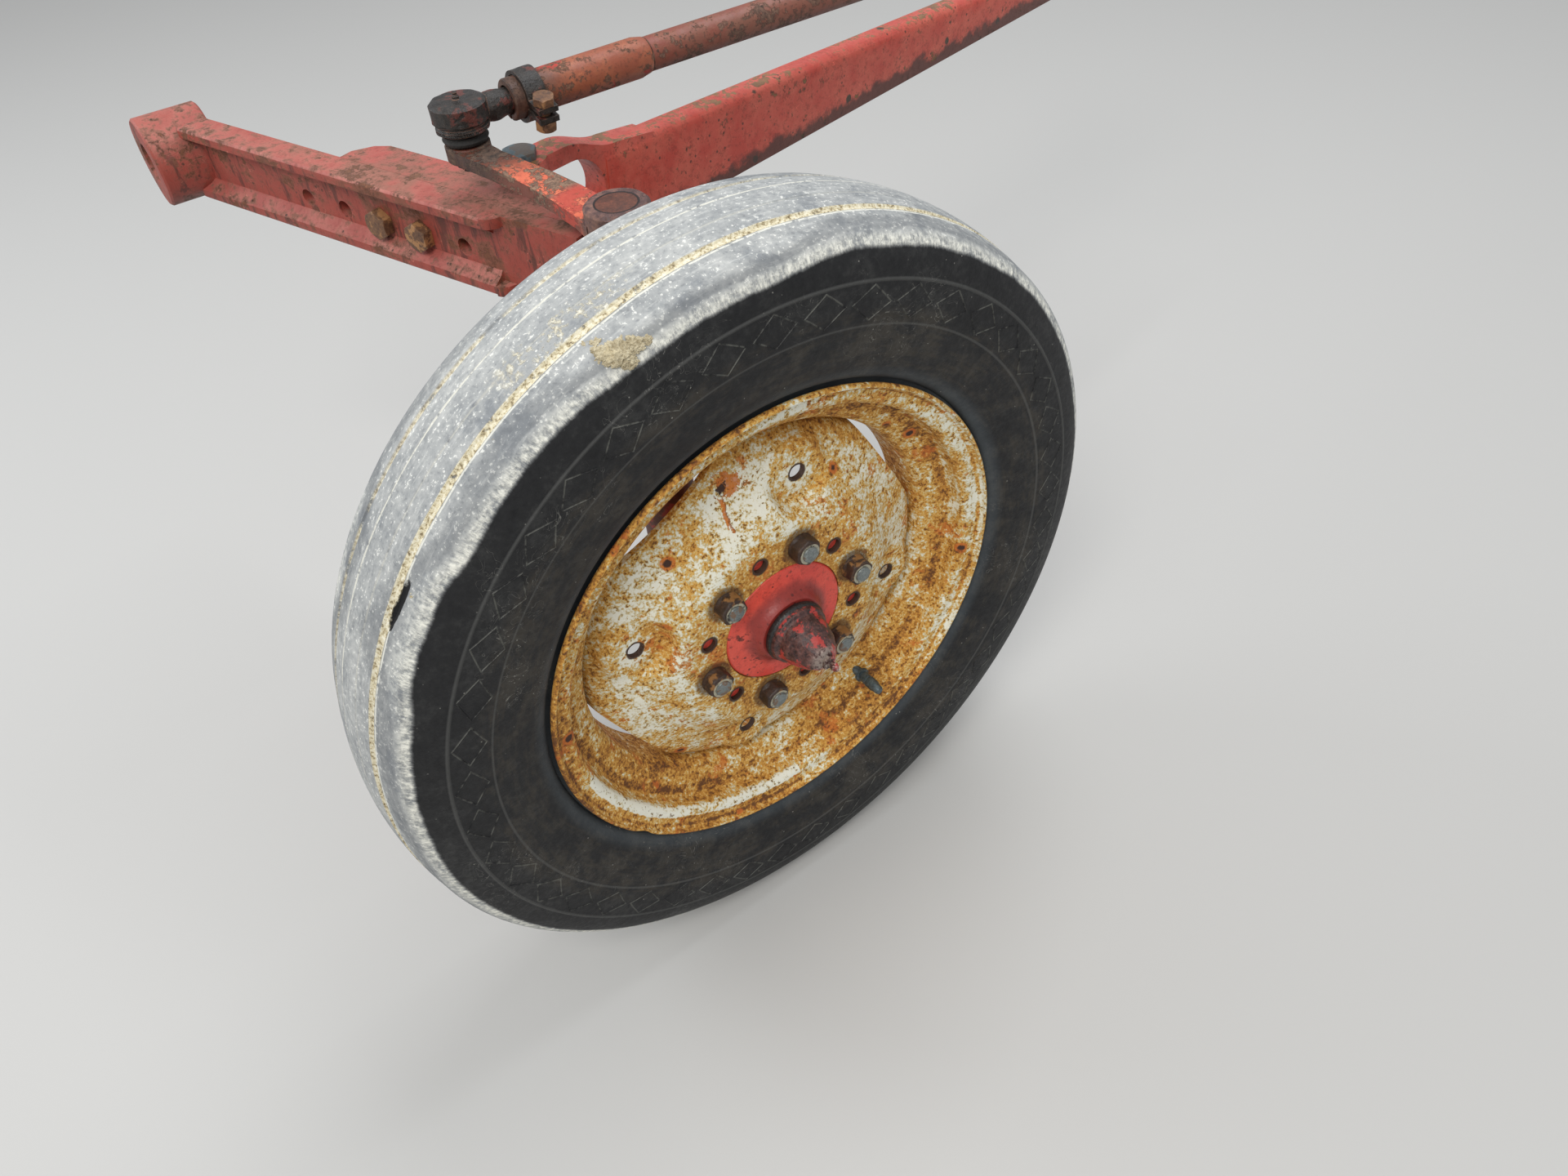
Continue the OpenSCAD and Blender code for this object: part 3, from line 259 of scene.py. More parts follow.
def tyre_finish():
    """Pale scuffed tread with lines of sand in its ribs, over a black side."""
    f = Finish("scuffed_tyre_rubber")
    radius, angle, offset = f.about_axle()
    arc = angle * 0.33
    broad = f.noise(0.05, 3)
    mid = f.noise(0.011, 5, 0.66)
    fine = f.noise(0.0024, 4, 0.62)
    grit = f.noise(0.0011, 3, 0.6)
    hair = f.noise(0.0010, 4, 0.65, f.stretched(arc, radius * 0.30, offset * 0.30))
    rub = f.noise(0.0018, 4, 0.62, f.stretched(arc * 0.16, offset, radius))

    # the pale scuffed tread ends in a wandering fringe on the shoulder
    slow = f.noise(0.09, 2, 0.5, f.stretched(arc, 0.0, 0.0))
    dip = angle.band(math.radians(8), math.radians(8), math.radians(13))
    rise = angle.band(math.radians(57), math.radians(4), math.radians(9))
    edge = radius + (slow - 0.5) * 0.009 + (mid - 0.5) * 0.004 + (hair - 0.5) * 0.0022
    edge = edge + dip * 0.006 - rise * 0.005
    tread = edge.step(0.3255, 0.3290)
    strands = (hair * 0.4 + fine * 0.3 + mid * 0.3).step(0.38, 0.58)
    fringe = edge.step(0.3262, 0.3290) * edge.step(0.3372, 0.3305) * strands
    stops = [
        (0.34, (122, 124, 125)), (0.46, (150, 152, 152)), (0.56, (171, 172, 170)), (0.70, (198, 198, 193)),
    ]
    grey = f.ramp(broad * 0.30 + mid * 0.40 + fine * 0.30, stops)
    dots = (f.cells(0.008) + (grit - 0.5) * 0.2).step(0.13, 0.08)
    flecks = (grit * 0.6 + fine * 0.4).step(0.575, 0.61).either(dots)
    grey = f.mix(flecks * 0.7, grey, (232, 231, 224))
    grey = f.mix((grit * 0.5 + fine * 0.5).step(0.43, 0.38) * 0.35, grey, (112, 114, 117))
    grey = f.mix(rub.step(0.56, 0.66) * 0.25, grey, (220, 220, 215))
    grey = f.mix((broad * 0.5 + mid * 0.5).step(0.47, 0.39) * 0.40, grey, (118, 123, 129))
    grey = f.mix(edge.band(0.3385, 0.0012, 0.0022) * 0.4, grey, (92, 95, 98))
    stops = [(0.38, (128, 114, 88)), (0.44, (182, 168, 136)), (0.5, (214, 204, 174)), (0.62, (232, 227, 208))]
    sand = f.ramp(fine * 0.4 + grit * 0.6, stops)
    stops = [(0.36, (172, 172, 167)), (0.48, (214, 213, 203)), (0.62, (238, 236, 224))]
    cream = f.ramp(fine * 0.6 + hair * 0.4, stops)

    lift = radius.step(0.329, 0.333)
    wander = (f.noise(0.03, 3) - 0.5) * 0.003
    place = offset + wander
    held = (mid * 0.6 + fine * 0.4).step(0.34, 0.42)
    sand_line = place.band(0.0328, 0.0026, 0.0012) * held
    sand_line = sand_line.either(place.band(-0.0330, 0.0016, 0.0020) * mid.step(0.37, 0.46) * 0.8)
    smear = angle.band(math.radians(21), math.radians(5), math.radians(6)) * offset.band(0.018, 0.008, 0.010)
    sand_line = sand_line.either(smear * (mid * 0.5 + fine * 0.5).step(0.50, 0.58) * 0.7) * lift
    thin_line = place.band(0.0374, 0.0004, 0.0006).either(place.band(-0.0120, 0.0006, 0.0006))
    thin_line = thin_line.either(place.band(0.0120, 0.0003, 0.0007) * 0.45) * lift * fine.step(0.34, 0.48)
    top = f.mix(fringe, grey, cream)
    top = f.mix(thin_line * 0.8, top, (226, 224, 212))
    top = f.mix(sand_line, top, sand)

    turn = angle - GASH_TURN
    across = (offset - GASH_OFFSET) * 150.0 + turn * 5.0
    cut = (turn * turn * 90.0 + across * across + (fine - 0.5) * 0.5).step(0.42, 0.26) * lift
    top = f.mix(cut, top, (20, 20, 21))

    # the black side, with a moulded ring of diamonds between a ridge and a step
    stops = [(0.36, (16, 16, 18)), (0.50, (29, 29, 30)), (0.66, (54, 54, 53))]
    black = f.ramp(broad * 0.3 + mid * 0.4 + fine * 0.3, stops)
    mud = radius.step(0.290, 0.278) * (rub * 0.3 + mid * 0.4 + broad * 0.3).step(0.45, 0.58)
    black = f.mix(mud * 0.45, black, (66, 59, 48))
    black = f.mix(radius.step(0.240, 0.226) * 0.5 * (0.5 + mid), black, (80, 88, 93))
    turns = angle * (DIAMONDS / (2 * math.pi)) + 0.5
    apart = abs(turns.of("FRACT") - 0.5) * 2.24
    tall = abs(radius - DIAMOND_RING) * (1 / 0.0135)
    diamond = (apart + tall).band(0.95, 0.03, 0.05)
    diamond = diamond * radius.step(0.2745, 0.2765) * radius.step(0.3065, 0.3045)
    # painted highlight: a lighter line along the moulded ridge and along the step, where raised rubber
    # catches the light
    ridge = radius.band(RIDGE, 0.0006, 0.0014).either(radius.band(0.2728, 0.0004, 0.0010))
    black = f.mix(diamond * (mid * 0.5 + fine * 0.5).step(0.42, 0.56) * 0.42, black, (122, 122, 114))
    black = f.mix(ridge * 0.35, black, (98, 98, 95))
    specks = f.cells(0.007).step(0.10, 0.05) * mid.step(0.5, 0.58)
    hairs = f.noise(0.012, 2, 0.5, None, 2.6).band(0.5, 0.0016, 0.0014) * broad.step(0.50, 0.60)
    black = f.mix((specks * 0.7).either(hairs * 0.45), black, (160, 158, 150))
    colour = f.mix(tread, black, top)

    relief = f.bump(mid, 0.0006)
    relief = f.bump(fine * 0.6 + grit * 0.4, 0.0005, relief)
    relief = f.bump(sand_line * fine + fringe * hair * 0.6 - cut, 0.0014, relief)
    rough = 0.60 + tread * 0.26 - (fine - 0.5) * 0.25
    return f.dress({"Base Color": colour, "Roughness": rough, "Normal": relief, "Specular IOR Level": 0.35})


def rusted_white_paint(name, rust_and_light_at, streak=False):
    """White paint gone over to ochre rust. The function passed in gives how far it has gone at a radius and
    an angle, and for the disc also painted light.
    """
    f = Finish(name)
    radius, angle, offset = f.about_axle()
    broad = f.noise(0.045, 3, 0.6, None, 0.5)
    mid = f.noise(0.013, 5, 0.66, None, 0.4)
    fine = f.noise(0.0036, 6, 0.72)
    grit = f.noise(0.0013, 3, 0.65)
    run = f.noise(0.005, 5, 0.68, f.stretched(angle * 0.035, offset, radius))
    # dark blisters in orange halos, the largest with a run below it and a smaller patch beside that
    spot = f.cells(0.034) + (fine - 0.5) * 0.16
    some = broad.step(0.47, 0.53)
    halo = spot.step(0.27, 0.12) * some
    core = spot.step(0.125, 0.085) * some
    if not streak:
        worst = at_clock(WHEEL + UP * 0.146 + OUT * 0.024, math.radians(12))
        ragged = (mid - 0.5) * 0.040 + (fine - 0.5) * 0.034
        x, _, z = f.parts(f.shift(worst))
        side = (f.away(worst + Vector((-0.005, 0, 0.002))) + ragged).step(0.0105, 0.0070)
        trail = (x - 0.002 + ragged * 0.25).band(0.0, 0.0012, 0.0016)
        trail = trail * (z + ragged).band(-0.018, 0.012, 0.003)
        small = f.away(worst + Vector((0.020, 0, -0.026))) + ragged
        halo = halo.either(side).either(trail).either(small.step(0.0055, 0.0035))
        core = core.either((f.away(worst) + ragged * 0.5).step(0.0052, 0.0040))
        core = core.either(trail * (x + ragged * 0.25).step(0.0012, 0.0002) * 0.7)
    # the rust value also carries painted light on the disc, and painted shade along the rim's creases below
    rust = rust_and_light_at(f, radius, angle, run) + halo * 0.20
    rust = rust + (broad - 0.5) * 0.60 + (mid - 0.5) * 0.60 + (fine - 0.5) * 1.10 + (grit - 0.5) * 1.0
    stops = [
        (0.33, (232, 230, 214)), (0.43, (222, 214, 182)), (0.50, (220, 190, 120)), (0.58, (208, 158, 72)),
        (0.72, (182, 124, 48)), (0.92, (104, 64, 30)),
    ]
    if streak:
        line = (radius + (mid - 0.5) * 0.008).band(0.2040, 0.0032, 0.0016)
        line = line * angle.step(math.radians(100), math.radians(106))
        # painted shade: the rim's creases, at the step to the bead's seat and at the flange's curl, drawn as
        # darker rust
        crease_shade = abs(offset).band(0.0330, 0.0010, 0.0024).either(radius.band(0.2150, 0.0004, 0.0014))
        rust = rust - line * 0.36 + crease_shade * (fine * 0.5 + mid * 0.5).step(0.36, 0.50) * 0.19
    colour = f.ramp(rust, stops)
    orange = (f.noise(0.018, 4, 0.7) * 0.6 + fine * 0.4).step(0.555, 0.60) * rust.step(0.42, 0.50)
    colour = f.mix((orange * 0.65).either(halo.step(0.45, 0.75) * 0.8), colour, (198, 106, 40))
    pits = (grit * 0.6 + fine * 0.4).step(0.565, 0.605)
    colour = f.mix(pits * 0.8, colour, (104, 66, 34))
    if not streak:
        nuts = f.off_ring(radius, angle, STUD_CIRCLE, 6, TURN) + (mid - 0.5) * 0.010
        colour = f.mix(nuts.step(0.0195, 0.0150) * 0.75, colour, (84, 54, 32))
        vents = f.off_ring(radius, angle, STUD_CIRCLE, 6, TURN + math.pi / 6) + (fine - 0.5) * 0.003
        holes = f.off_ring(radius, angle, PAD_CIRCLE, 4, TURN) + (fine - 0.5) * 0.003
        colour = f.mix(vents.step(0.0092, 0.0072).either(holes.step(0.0092, 0.0078)), colour, (66, 44, 30))
    colour = f.mix(core, colour, (62, 38, 28))
    lost = pits.either(core)
    relief = f.bump(broad, 0.0010)
    relief = f.bump(fine * 0.6 + grit * 0.4, 0.0006, relief)
    relief = f.bump(rust.step(0.50, 0.44) - lost, 0.0003, relief)
    rough = 0.56 + rust.step(0.42, 0.56) * 0.26 + (grit - 0.5) * 0.2
    return f.dress({"Base Color": colour, "Roughness": rough, "Normal": relief})


def disc_rust_and_painted_light(f, radius, angle, run):
    """Worst round the nuts, the holes and on the outer slope, and paler towards the front and top as painted
    light.
    """
    # painted light: the dish is drawn paler towards the front and top, where the lamp falls on it
    painted_light = (angle - math.radians(48)).of("COSINE")
    slope = radius.step(0.150, 0.164) * 0.10
    holes = f.off_ring(radius, angle, PAD_CIRCLE, 4, TURN).band(0.022, 0.004, 0.006) * 0.10
    return 0.505 - painted_light * 0.04 + radius.step(0.102, 0.084) * 0.12 + slope + holes + (run - 0.5) * 0.15


def rim_rust(f, radius, angle, run):
    """Ochre in the well, paler on the bead's seat and step, brown at the very edge."""
    high = (angle + math.radians(60)).of("COSINE")
    step = radius.step(0.199, 0.207)
    edge = radius.step(0.2180, 0.2205)
    return 0.62 - step * 0.055 - high * (0.015 + step * 0.08) + edge * 0.16 + (run - 0.5) * 0.60


def worn_paint(
    name, fresh, faded, bare, wear=0.0, dirt=0.3, tone=(112, 84, 64), edges=0.10, gloss=0.5, side=None,
    more=None,
):
    """Old paint, faded in patches, with dirt where it faces up, chipped to rust in specks and along edges,
    and darkened where it faces down by dirt and painted shade.
    """
    f = Finish(name)
    broad = f.noise(0.055, 3, 0.6, None, 0.4)
    mid = f.noise(0.013, 5, 0.66)
    fine = f.noise(0.0032, 5, 0.7)
    grit = f.noise(0.0011, 3, 0.6)
    upward = f.attribute("upward")
    edge = f.attribute("edge")
    colour = f.ramp(broad * 0.5 + mid * 0.5, [(0.40, fresh), (0.60, faded)])
    if side:
        colour = f.mix(upward.step(0.80, 0.30) * 0.8, colour, side)
    colour = f.mix((fine * 0.6 + grit * 0.4).step(0.50, 0.60) * 0.40, colour, shade(fresh, 0.66))
    film = (mid * 0.5 + fine * 0.5).step(0.46, 0.57) * (0.35 + upward.step(0.1, 0.9) * 0.65)
    colour = f.mix(film * dirt, colour, tone)
    scratches = f.noise(0.02, 2, 0.5, None, 2.4).band(0.5, 0.0020, 0.0016) * mid.step(0.46, 0.56)
    colour = f.mix(scratches * 0.5, colour, shade(faded, 1.2))
    worn = mid * 0.45 + fine * 0.40 + broad * 0.15 + edge * edges + wear
    chips = worn.step(0.580, 0.596)
    colour = f.mix(worn.step(0.555, 0.582) * 0.5, colour, shade(fresh, 0.55))
    stops = [(0.36, shade(bare, 0.55)), (0.50, bare), (0.64, shade(bare, 1.4))]
    colour = f.mix(chips, colour, f.ramp(fine * 0.6 + grit * 0.4, stops))
    specks = (f.cells(0.009) + (grit - 0.5) * 0.2).step(0.17, 0.12) * mid.step(0.44, 0.54)
    colour = f.mix(specks * 0.8, colour, shade(bare, 0.6))
    if more:
        colour = more(f, colour, broad, mid, fine)
    # painted shade: faces that look down are darkened towards dark bare iron, partly dirt and partly painted
    # shadow
    colour = f.mix(upward.step(-0.2, -0.9) * 0.5, colour, shade(bare, 0.5))
    relief = f.bump(mid, 0.0006)
    relief = f.bump(fine * 0.6 + grit * 0.4, 0.0005, relief)
    relief = f.bump(chips * -1.0, 0.0004, relief)
    rough = gloss + chips * 0.2 + film * 0.12 + (fine - 0.5) * 0.3
    return f.dress({"Base Color": colour, "Roughness": rough, "Normal": relief})


def arm_grease(f, colour, broad, mid, fine):
    """Grease at the ball, and the bare forged boss round the kingpin."""
    greasy = (f.away(BALL) + (mid - 0.5) * 0.05).step(0.078, 0.046)
    colour = f.mix(greasy * 0.85, colour, f.ramp(fine, [(0.38, (34, 28, 25)), (0.6, (84, 64, 52))]))
    boss = f.away(KINGPIN + UP * 0.062)
    red = boss.band(0.046, 0.010, 0.010) * (mid * 0.6 + fine * 0.4).step(0.46, 0.52)
    colour = f.mix(red * 0.8, colour, (192, 68, 54))
    bare = (boss + (mid - 0.5) * 0.008).step(0.0290, 0.0262)
    ring = (f.about(KINGPIN) + (fine - 0.5) * 0.002).band(0.0166, 0.0006, 0.0008)
    stops = [(0.38, (60, 42, 40)), (0.5, (98, 72, 68)), (0.62, (134, 98, 84))]
    forged = f.ramp(mid * 0.5 + fine * 0.5, stops)
    return f.mix(ring * bare, f.mix(bare, colour, forged), (36, 26, 25))


def rod_ends(f, colour, broad, mid, fine):
    """Olive chips where the top edge was stood on, larger blisters, and darker along the bottom."""
    trodden = f.attribute("upward").step(0.4, 1.0) * 0.085
    worn = (mid * 0.45 + fine * 0.35 + broad * 0.20 + trodden).step(0.588, 0.606)
    colour = f.mix(worn * 0.9, colour, f.ramp(fine, [(0.38, (78, 60, 42)), (0.6, (138, 108, 72))]))
    blisters = (f.cells(0.040) + (fine - 0.5) * 0.14).step(0.12, 0.085) * mid.step(0.42, 0.48)
    colour = f.mix(blisters, colour, (74, 58, 44))
    _, _, z = f.parts(f.place)
    low = (z + (mid - 0.5) * 0.040 + (fine - 0.5) * 0.012).step(-0.044, -0.053)
    return f.mix(low * 0.85, colour, (60, 42, 36))


def hub_neck_dirt_and_shade(f, colour, broad, mid, fine):
    """Dirt and painted shade round the hub's neck: a darker red in its fillet."""
    radius, _, _ = f.about_axle()
    # painted shade in the neck's fillet, together with dirt
    dirt_and_shade = (radius + (mid - 0.5) * 0.016).step(0.046, 0.036)
    return f.mix(dirt_and_shade * 0.7, colour, (92, 34, 32))


def link_grease(f, colour, broad, mid, fine):
    """The joint's grease, thrown along the sleeve."""
    greasy = (f.away(BALL) + (mid - 0.5) * 0.06 + (fine - 0.5) * 0.02).step(0.105, 0.055)
    colour = f.mix(greasy * 0.9, colour, f.ramp(fine, [(0.36, (34, 28, 25)), (0.62, (96, 70, 56))]))
    patch = (broad * 0.4 + mid * 0.6 - f.attribute("upward") * 0.02).step(0.53, 0.55) * (1 - greasy)
    return f.mix(patch * 0.85, colour, (186, 58, 50))


def beam_streaks(f, colour, broad, mid, fine):
    """Dark runs down the upright faces, and dirt that has lain in the middle of the tops."""
    x, y, z = f.parts(f.place)
    upward = f.attribute("upward")
    runs = f.noise(0.006, 4, 0.65, f.stretched(x, y, z * 0.15)).step(0.53, 0.62) * upward.step(0.6, 0.2)
    colour = f.mix(runs * 0.7, colour, (72, 42, 34))
    rusty = (broad * 0.4 + mid * 0.4 + fine * 0.2).step(0.505, 0.54)
    colour = f.mix(rusty * upward.step(0.6, 0.2) * 0.75, colour, (118, 72, 50))
    lain = (broad * 0.6 + mid * 0.4).step(0.48, 0.56) * upward.step(0.7, 0.95)
    return f.mix(lain * 0.5, colour, (118, 84, 66))


def rough_iron(
    name, dark, light, rough=0.62, depth=0.0007, patch=None, metallic=0.0, size=0.006, rubbed=None,
):
    """Iron under rust, oil or grease, in two shades, with patches of a third and rubbed edges."""
    f = Finish(name)
    broad = f.noise(size * 4, 3)
    mid = f.noise(size, 5, 0.66)
    fine = f.noise(size * 0.24, 4, 0.66)
    middle = tuple((a + b) / 2 for a, b in zip(dark, light))
    colour = f.ramp(mid * 0.55 + fine * 0.45, [(0.36, dark), (0.52, middle), (0.66, light)])
    if patch:
        colour = f.mix((broad * 0.5 + mid * 0.4 + fine * 0.1).step(0.535, 0.565) * 0.85, colour, patch)
    if rubbed:
        share = f.attribute("edge") * (mid * 0.5 + fine * 0.5).step(0.40, 0.54)
        colour = f.mix(share * 0.8, colour, rubbed)
    relief = f.bump(mid, depth)
    relief = f.bump(fine, depth * 0.45, relief)
    rough = rough + (mid - 0.5) * 0.5
    return f.dress({"Base Color": colour, "Roughness": rough, "Metallic": metallic, "Normal": relief})


def cap_finish():
    """A greasy black ring, then a lumpy cone with the last of its red paint and a bright tip."""
    f = Finish("greasy_cap_iron")
    _, _, offset = f.about_axle()
    mid = f.noise(0.005, 5, 0.66)
    fine = f.noise(0.0016, 4, 0.66)
    stops = [(0.40, (18, 17, 17)), (0.56, (40, 38, 37)), (0.70, (104, 102, 98))]
    ring = f.ramp(mid * 0.5 + fine * 0.5, stops)
    stops = [(0.38, (34, 22, 21)), (0.48, (74, 46, 43)), (0.60, (108, 70, 62)), (0.74, (150, 110, 96))]
    cone = f.ramp(mid * 0.45 + fine * 0.55, stops)
    red = (f.noise(0.009, 4, 0.6) * 0.7 + fine * 0.3).step(0.515, 0.54)
    cone = f.mix(red * 0.85, cone, (184, 56, 50))
    bright = offset.step(DISC_FACE + 0.050, DISC_FACE + 0.058) * (mid * 0.4 + fine * 0.6).step(0.46, 0.56)
    cone = f.mix(bright * 0.8, cone, (172, 160, 150))
    colour = f.mix(offset.step(DISC_FACE + 0.0175, DISC_FACE + 0.0195), ring, cone)
    relief = f.bump(mid, 0.0014)
    relief = f.bump(fine, 0.0006, relief)
    rough = 0.44 + (fine - 0.5) * 0.6 - bright * 0.1
    return f.dress({"Base Color": colour, "Roughness": rough, "Metallic": bright * 0.7, "Normal": relief})


FINISHES = {
    "tyre": tyre_finish(),
    "rim_paint": rusted_white_paint("rim_rusted_paint", rim_rust, True),
    "disc_paint": rusted_white_paint("disc_rusted_paint", disc_rust_and_painted_light),
    "hub_red": worn_paint(
        "hub_red_paint", (214, 62, 50), (226, 84, 66), (104, 46, 38), -0.030, 0.14, (116, 58, 48),
        gloss=0.42, more=hub_neck_dirt_and_shade,
    ),
    "bare_steel": rough_iron("oiled_steel", (92, 90, 86), (150, 148, 142), 0.36, 0.0001, None, 0.9),
    "rubber": rough_iron("boot_rubber", (24, 23, 22), (52, 48, 44), 0.7, 0.0004),
    "greasy_steel": cap_finish(),
    "stud_steel": rough_iron(
        "worn_stud_steel", (92, 98, 98), (158, 164, 160), 0.45, 0.0003, (120, 90, 66), 0.4, 0.003,
    ),
    "nut_rust": rough_iron(
        "nut_rust", (32, 22, 18), (84, 58, 40), 0.5, 0.0010, (142, 100, 54), rubbed=(182, 178, 156),
    ),
    "valve_steel": rough_iron("valve_steel", (52, 60, 62), (112, 126, 130), 0.36, 0.0003, None, 0.5, 0.003),
    "knuckle_rust": rough_iron("knuckle_rust", (66, 38, 30), (124, 72, 54), 0.66, 0.0009, (150, 58, 48)),
    "arm_paint": worn_paint(
        "arm_worn_paint", (206, 90, 64), (218, 126, 90), (112, 88, 72), 0.095, 0.25, (104, 84, 70), 0.04,
        side=(82, 58, 50), more=arm_grease,
    ),
    "beam_paint": worn_paint(
        "beam_faded_paint", (160, 78, 68), (188, 116, 102), (96, 62, 46), 0.012, 0.75, (116, 84, 66), 0.07,
        0.6, (150, 62, 48), beam_streaks,
    ),
    "extension_paint": worn_paint(
        "extension_faded_paint", (164, 74, 64), (190, 106, 94), (100, 66, 48), 0.006, 0.65, (120, 88, 68),
        0.07, 0.56, (146, 66, 54), beam_streaks,
    ),
    "bush_bronze": rough_iron("bush_bronze", (110, 84, 44), (170, 134, 78), 0.4, 0.0001, None, 0.9),
    "bolt_rust": rough_iron(
        "bolt_rust", (70, 46, 34), (150, 108, 72), 0.62, 0.0007, (168, 122, 78), rubbed=(176, 134, 96),
    ),
    "rod_paint": worn_paint(
        "rod_faded_paint", (190, 70, 56), (208, 100, 82), (92, 70, 50), -0.010, 0.22, (128, 92, 66), 0.05,
        0.42, more=rod_ends,
    ),
    "bolt_blue_grey": rough_iron(
        "bolt_blue_grey", (66, 80, 86), (112, 126, 130), 0.5, 0.0004, (96, 82, 72), rubbed=(140, 148, 148),
    ),
    "joint_grease": rough_iron(
        "joint_greasy_dirt", (20, 18, 17), (66, 56, 48), 0.46, 0.0018, (96, 46, 38), rubbed=(118, 84, 66),
    ),
    "sleeve_rust": worn_paint(
        "sleeve_worn_paint", (146, 76, 52), (174, 102, 66), (96, 68, 52), 0.065, 0.4, (126, 92, 68), 0.04,
        more=link_grease,
    ),
    "tube_rust": worn_paint(
        "tube_worn_paint", (132, 66, 52), (122, 82, 66), (92, 68, 56), 0.05, 0.35, (166, 108, 74),
    ),
    "dry_mud": rough_iron(
        "dry_mud", (150, 134, 102), (238, 229, 200), 0.95, 0.0024, (202, 188, 154), size=0.0035,
    ),
}


# SHAPES

def add(name, data):
    """Puts an object with this data in the scene, at the origin."""
    made = bpy.data.objects.new(name, data)
    bpy.context.scene.collection.objects.link(made)
    return made


def mesh_of(name, shape):
    """A mesh with a shape's faces. The shape itself is freed."""
    mesh = bpy.data.meshes.new(name)
    shape.to_mesh(mesh)
    shape.free()
    return mesh


def from_axle(point):
    """How far a point is in front of and above the wheel's axis, and its radius."""
    x, z = point.x - WHEEL.x, point.z - WHEEL.z
    return x, z, math.hypot(x, z)


def push_out(vertex, reach):
    """Moves a vertex away from the wheel's axis."""
    x, z, radius = from_axle(vertex.co)
    vertex.co.x += x / radius * reach
    vertex.co.z += z / radius * reach


def cut_corners(points, times=2):
    """Rounds an open line of points by cutting its corners."""
    for _ in range(times):
        rounded = [points[0]]
        for a, b in zip(points, points[1:]):
            rounded.append(tuple(p * 0.75 + q * 0.25 for p, q in zip(a, b)))
            rounded.append(tuple(p * 0.25 + q * 0.75 for p, q in zip(a, b)))
        points = rounded + [points[-1]]
    return points


def divided(points, length):
    """An open line of points with more between them, about length apart."""
    fine = []
    for a, b in zip(points, points[1:]):
        count = max(1, round(math.dist(a, b) / length))
        fine += [tuple(p + (q - p) * k / count for p, q in zip(a, b)) for k in range(count)]
    return fine + [points[-1]]


def turned(profile, steps, centre=WHEEL, axis=OUT, start=UP, closed=True, turn=2 * math.pi):
    """Spins a line of (radius, offset) points, in metres, about an axis."""
    shape = bmesh.new()
    line = [shape.verts.new(centre + start * r + axis * y) for r, y in profile]
    pairs = zip(line, line[1:] + line[:1]) if closed else zip(line, line[1:])
    edges = [shape.edges.new(pair) for pair in pairs]
    bmesh.ops.spin(shape, geom=line + edges, cent=centre, axis=axis, angle=turn, steps=steps, use_merge=True)
    bmesh.ops.remove_doubles(shape, verts=shape.verts, dist=1e-6)
    bmesh.ops.recalc_face_normals(shape, faces=shape.faces)
    return shape


def finished(name, shape, finish, body, nodes=(), sharp=38):
    """Makes a piece from a shape, gives it its finish and puts it on its body."""
    mesh = mesh_of(name, shape)
    mesh.polygons.foreach_set("use_smooth", [True] * len(mesh.polygons))
    mesh.set_sharp_from_angle(angle=math.radians(sharp))
    upward = mesh.attributes.new("upward", "FLOAT", "CORNER")
    upward.data.foreach_set("value", [normal.vector.z for normal in mesh.corner_normals])
    piece = add(name, mesh)
    mesh.materials.append(FINISHES[finish].material)
    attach(piece, body)
    if nodes:
        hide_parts(*nodes)
    return piece


def mark_edges(shape, faces):
    """Marks the faces at a shape's corners, where its finish is rubbed."""
    edge = shape.loops.layers.float.get("edge") or shape.loops.layers.float.new("edge")
    for face in faces:
        for loop in face.loops:
            loop[edge] = 1.0


def worn_node(node, finish, width=0.001, segments=2, angle=30, lumps=0.0, lump_size=0.008):
    """A node's own shape with its doubled corners merged and its edges rounded by wear."""
    source = frame["nodes"][node]
    shape = bmesh.new()
    shape.from_mesh(source.data)
    bmesh.ops.remove_doubles(shape, verts=shape.verts, dist=2e-6)
    bmesh.ops.dissolve_limit(shape, angle_limit=math.radians(0.8), verts=shape.verts, edges=shape.edges)
    edges = [e for e in shape.edges if len(e.link_faces) == 2 and e.calc_face_angle() > math.radians(angle)]
    if width:
        worn = bmesh.ops.bevel(
            shape, geom=edges, offset=width, affect="EDGES", segments=segments, profile=0.5, material=-1,
            clamp_overlap=True,
        )
        mark_edges(shape, worn["faces"])
    if lumps:
        bmesh.ops.triangulate(shape, faces=shape.faces)
        for _ in range(2):
            long = [e for e in shape.edges if e.calc_length() > lump_size]
            bmesh.ops.subdivide_edges(shape, edges=long, cuts=1, use_grid_fill=True)
            bmesh.ops.triangulate(shape, faces=shape.faces)
        shape.normal_update()
        for v in shape.verts:
            v.co -= v.normal * lumps * (0.5 + 0.5 * noise.noise(v.co / lump_size))
    finished("worn_" + node, shape, finish, source["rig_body"], [node], sharp=40)


def tyre_radius(y):
    """Radius of the tyre's tread and shoulder at an offset from its middle."""
    if y <= TREAD_HALF:
        return TREAD_TOP - TREAD_FALL * (y / TREAD_HALF) ** 2
    rise = min(1.0, (y - TREAD_HALF) / SHOULDER_REACH) ** (1 / 1.05)
    return WIDEST + SHOULDER_HEIGHT * (1 - rise * rise) ** 0.41


def side_offset(radius):
    """Offset of the tyre's side from its middle at a radius."""
    if radius >= WIDEST:
        fall = ((radius - WIDEST) / SHOULDER_HEIGHT) ** (1 / 0.82)
        return TREAD_HALF + SHOULDER_REACH * (1 - fall * fall) ** 0.525
    return SIDE_START + SIDE_REACH * math.sqrt(1 - ((WIDEST - radius) / SIDE_DROP) ** 2)


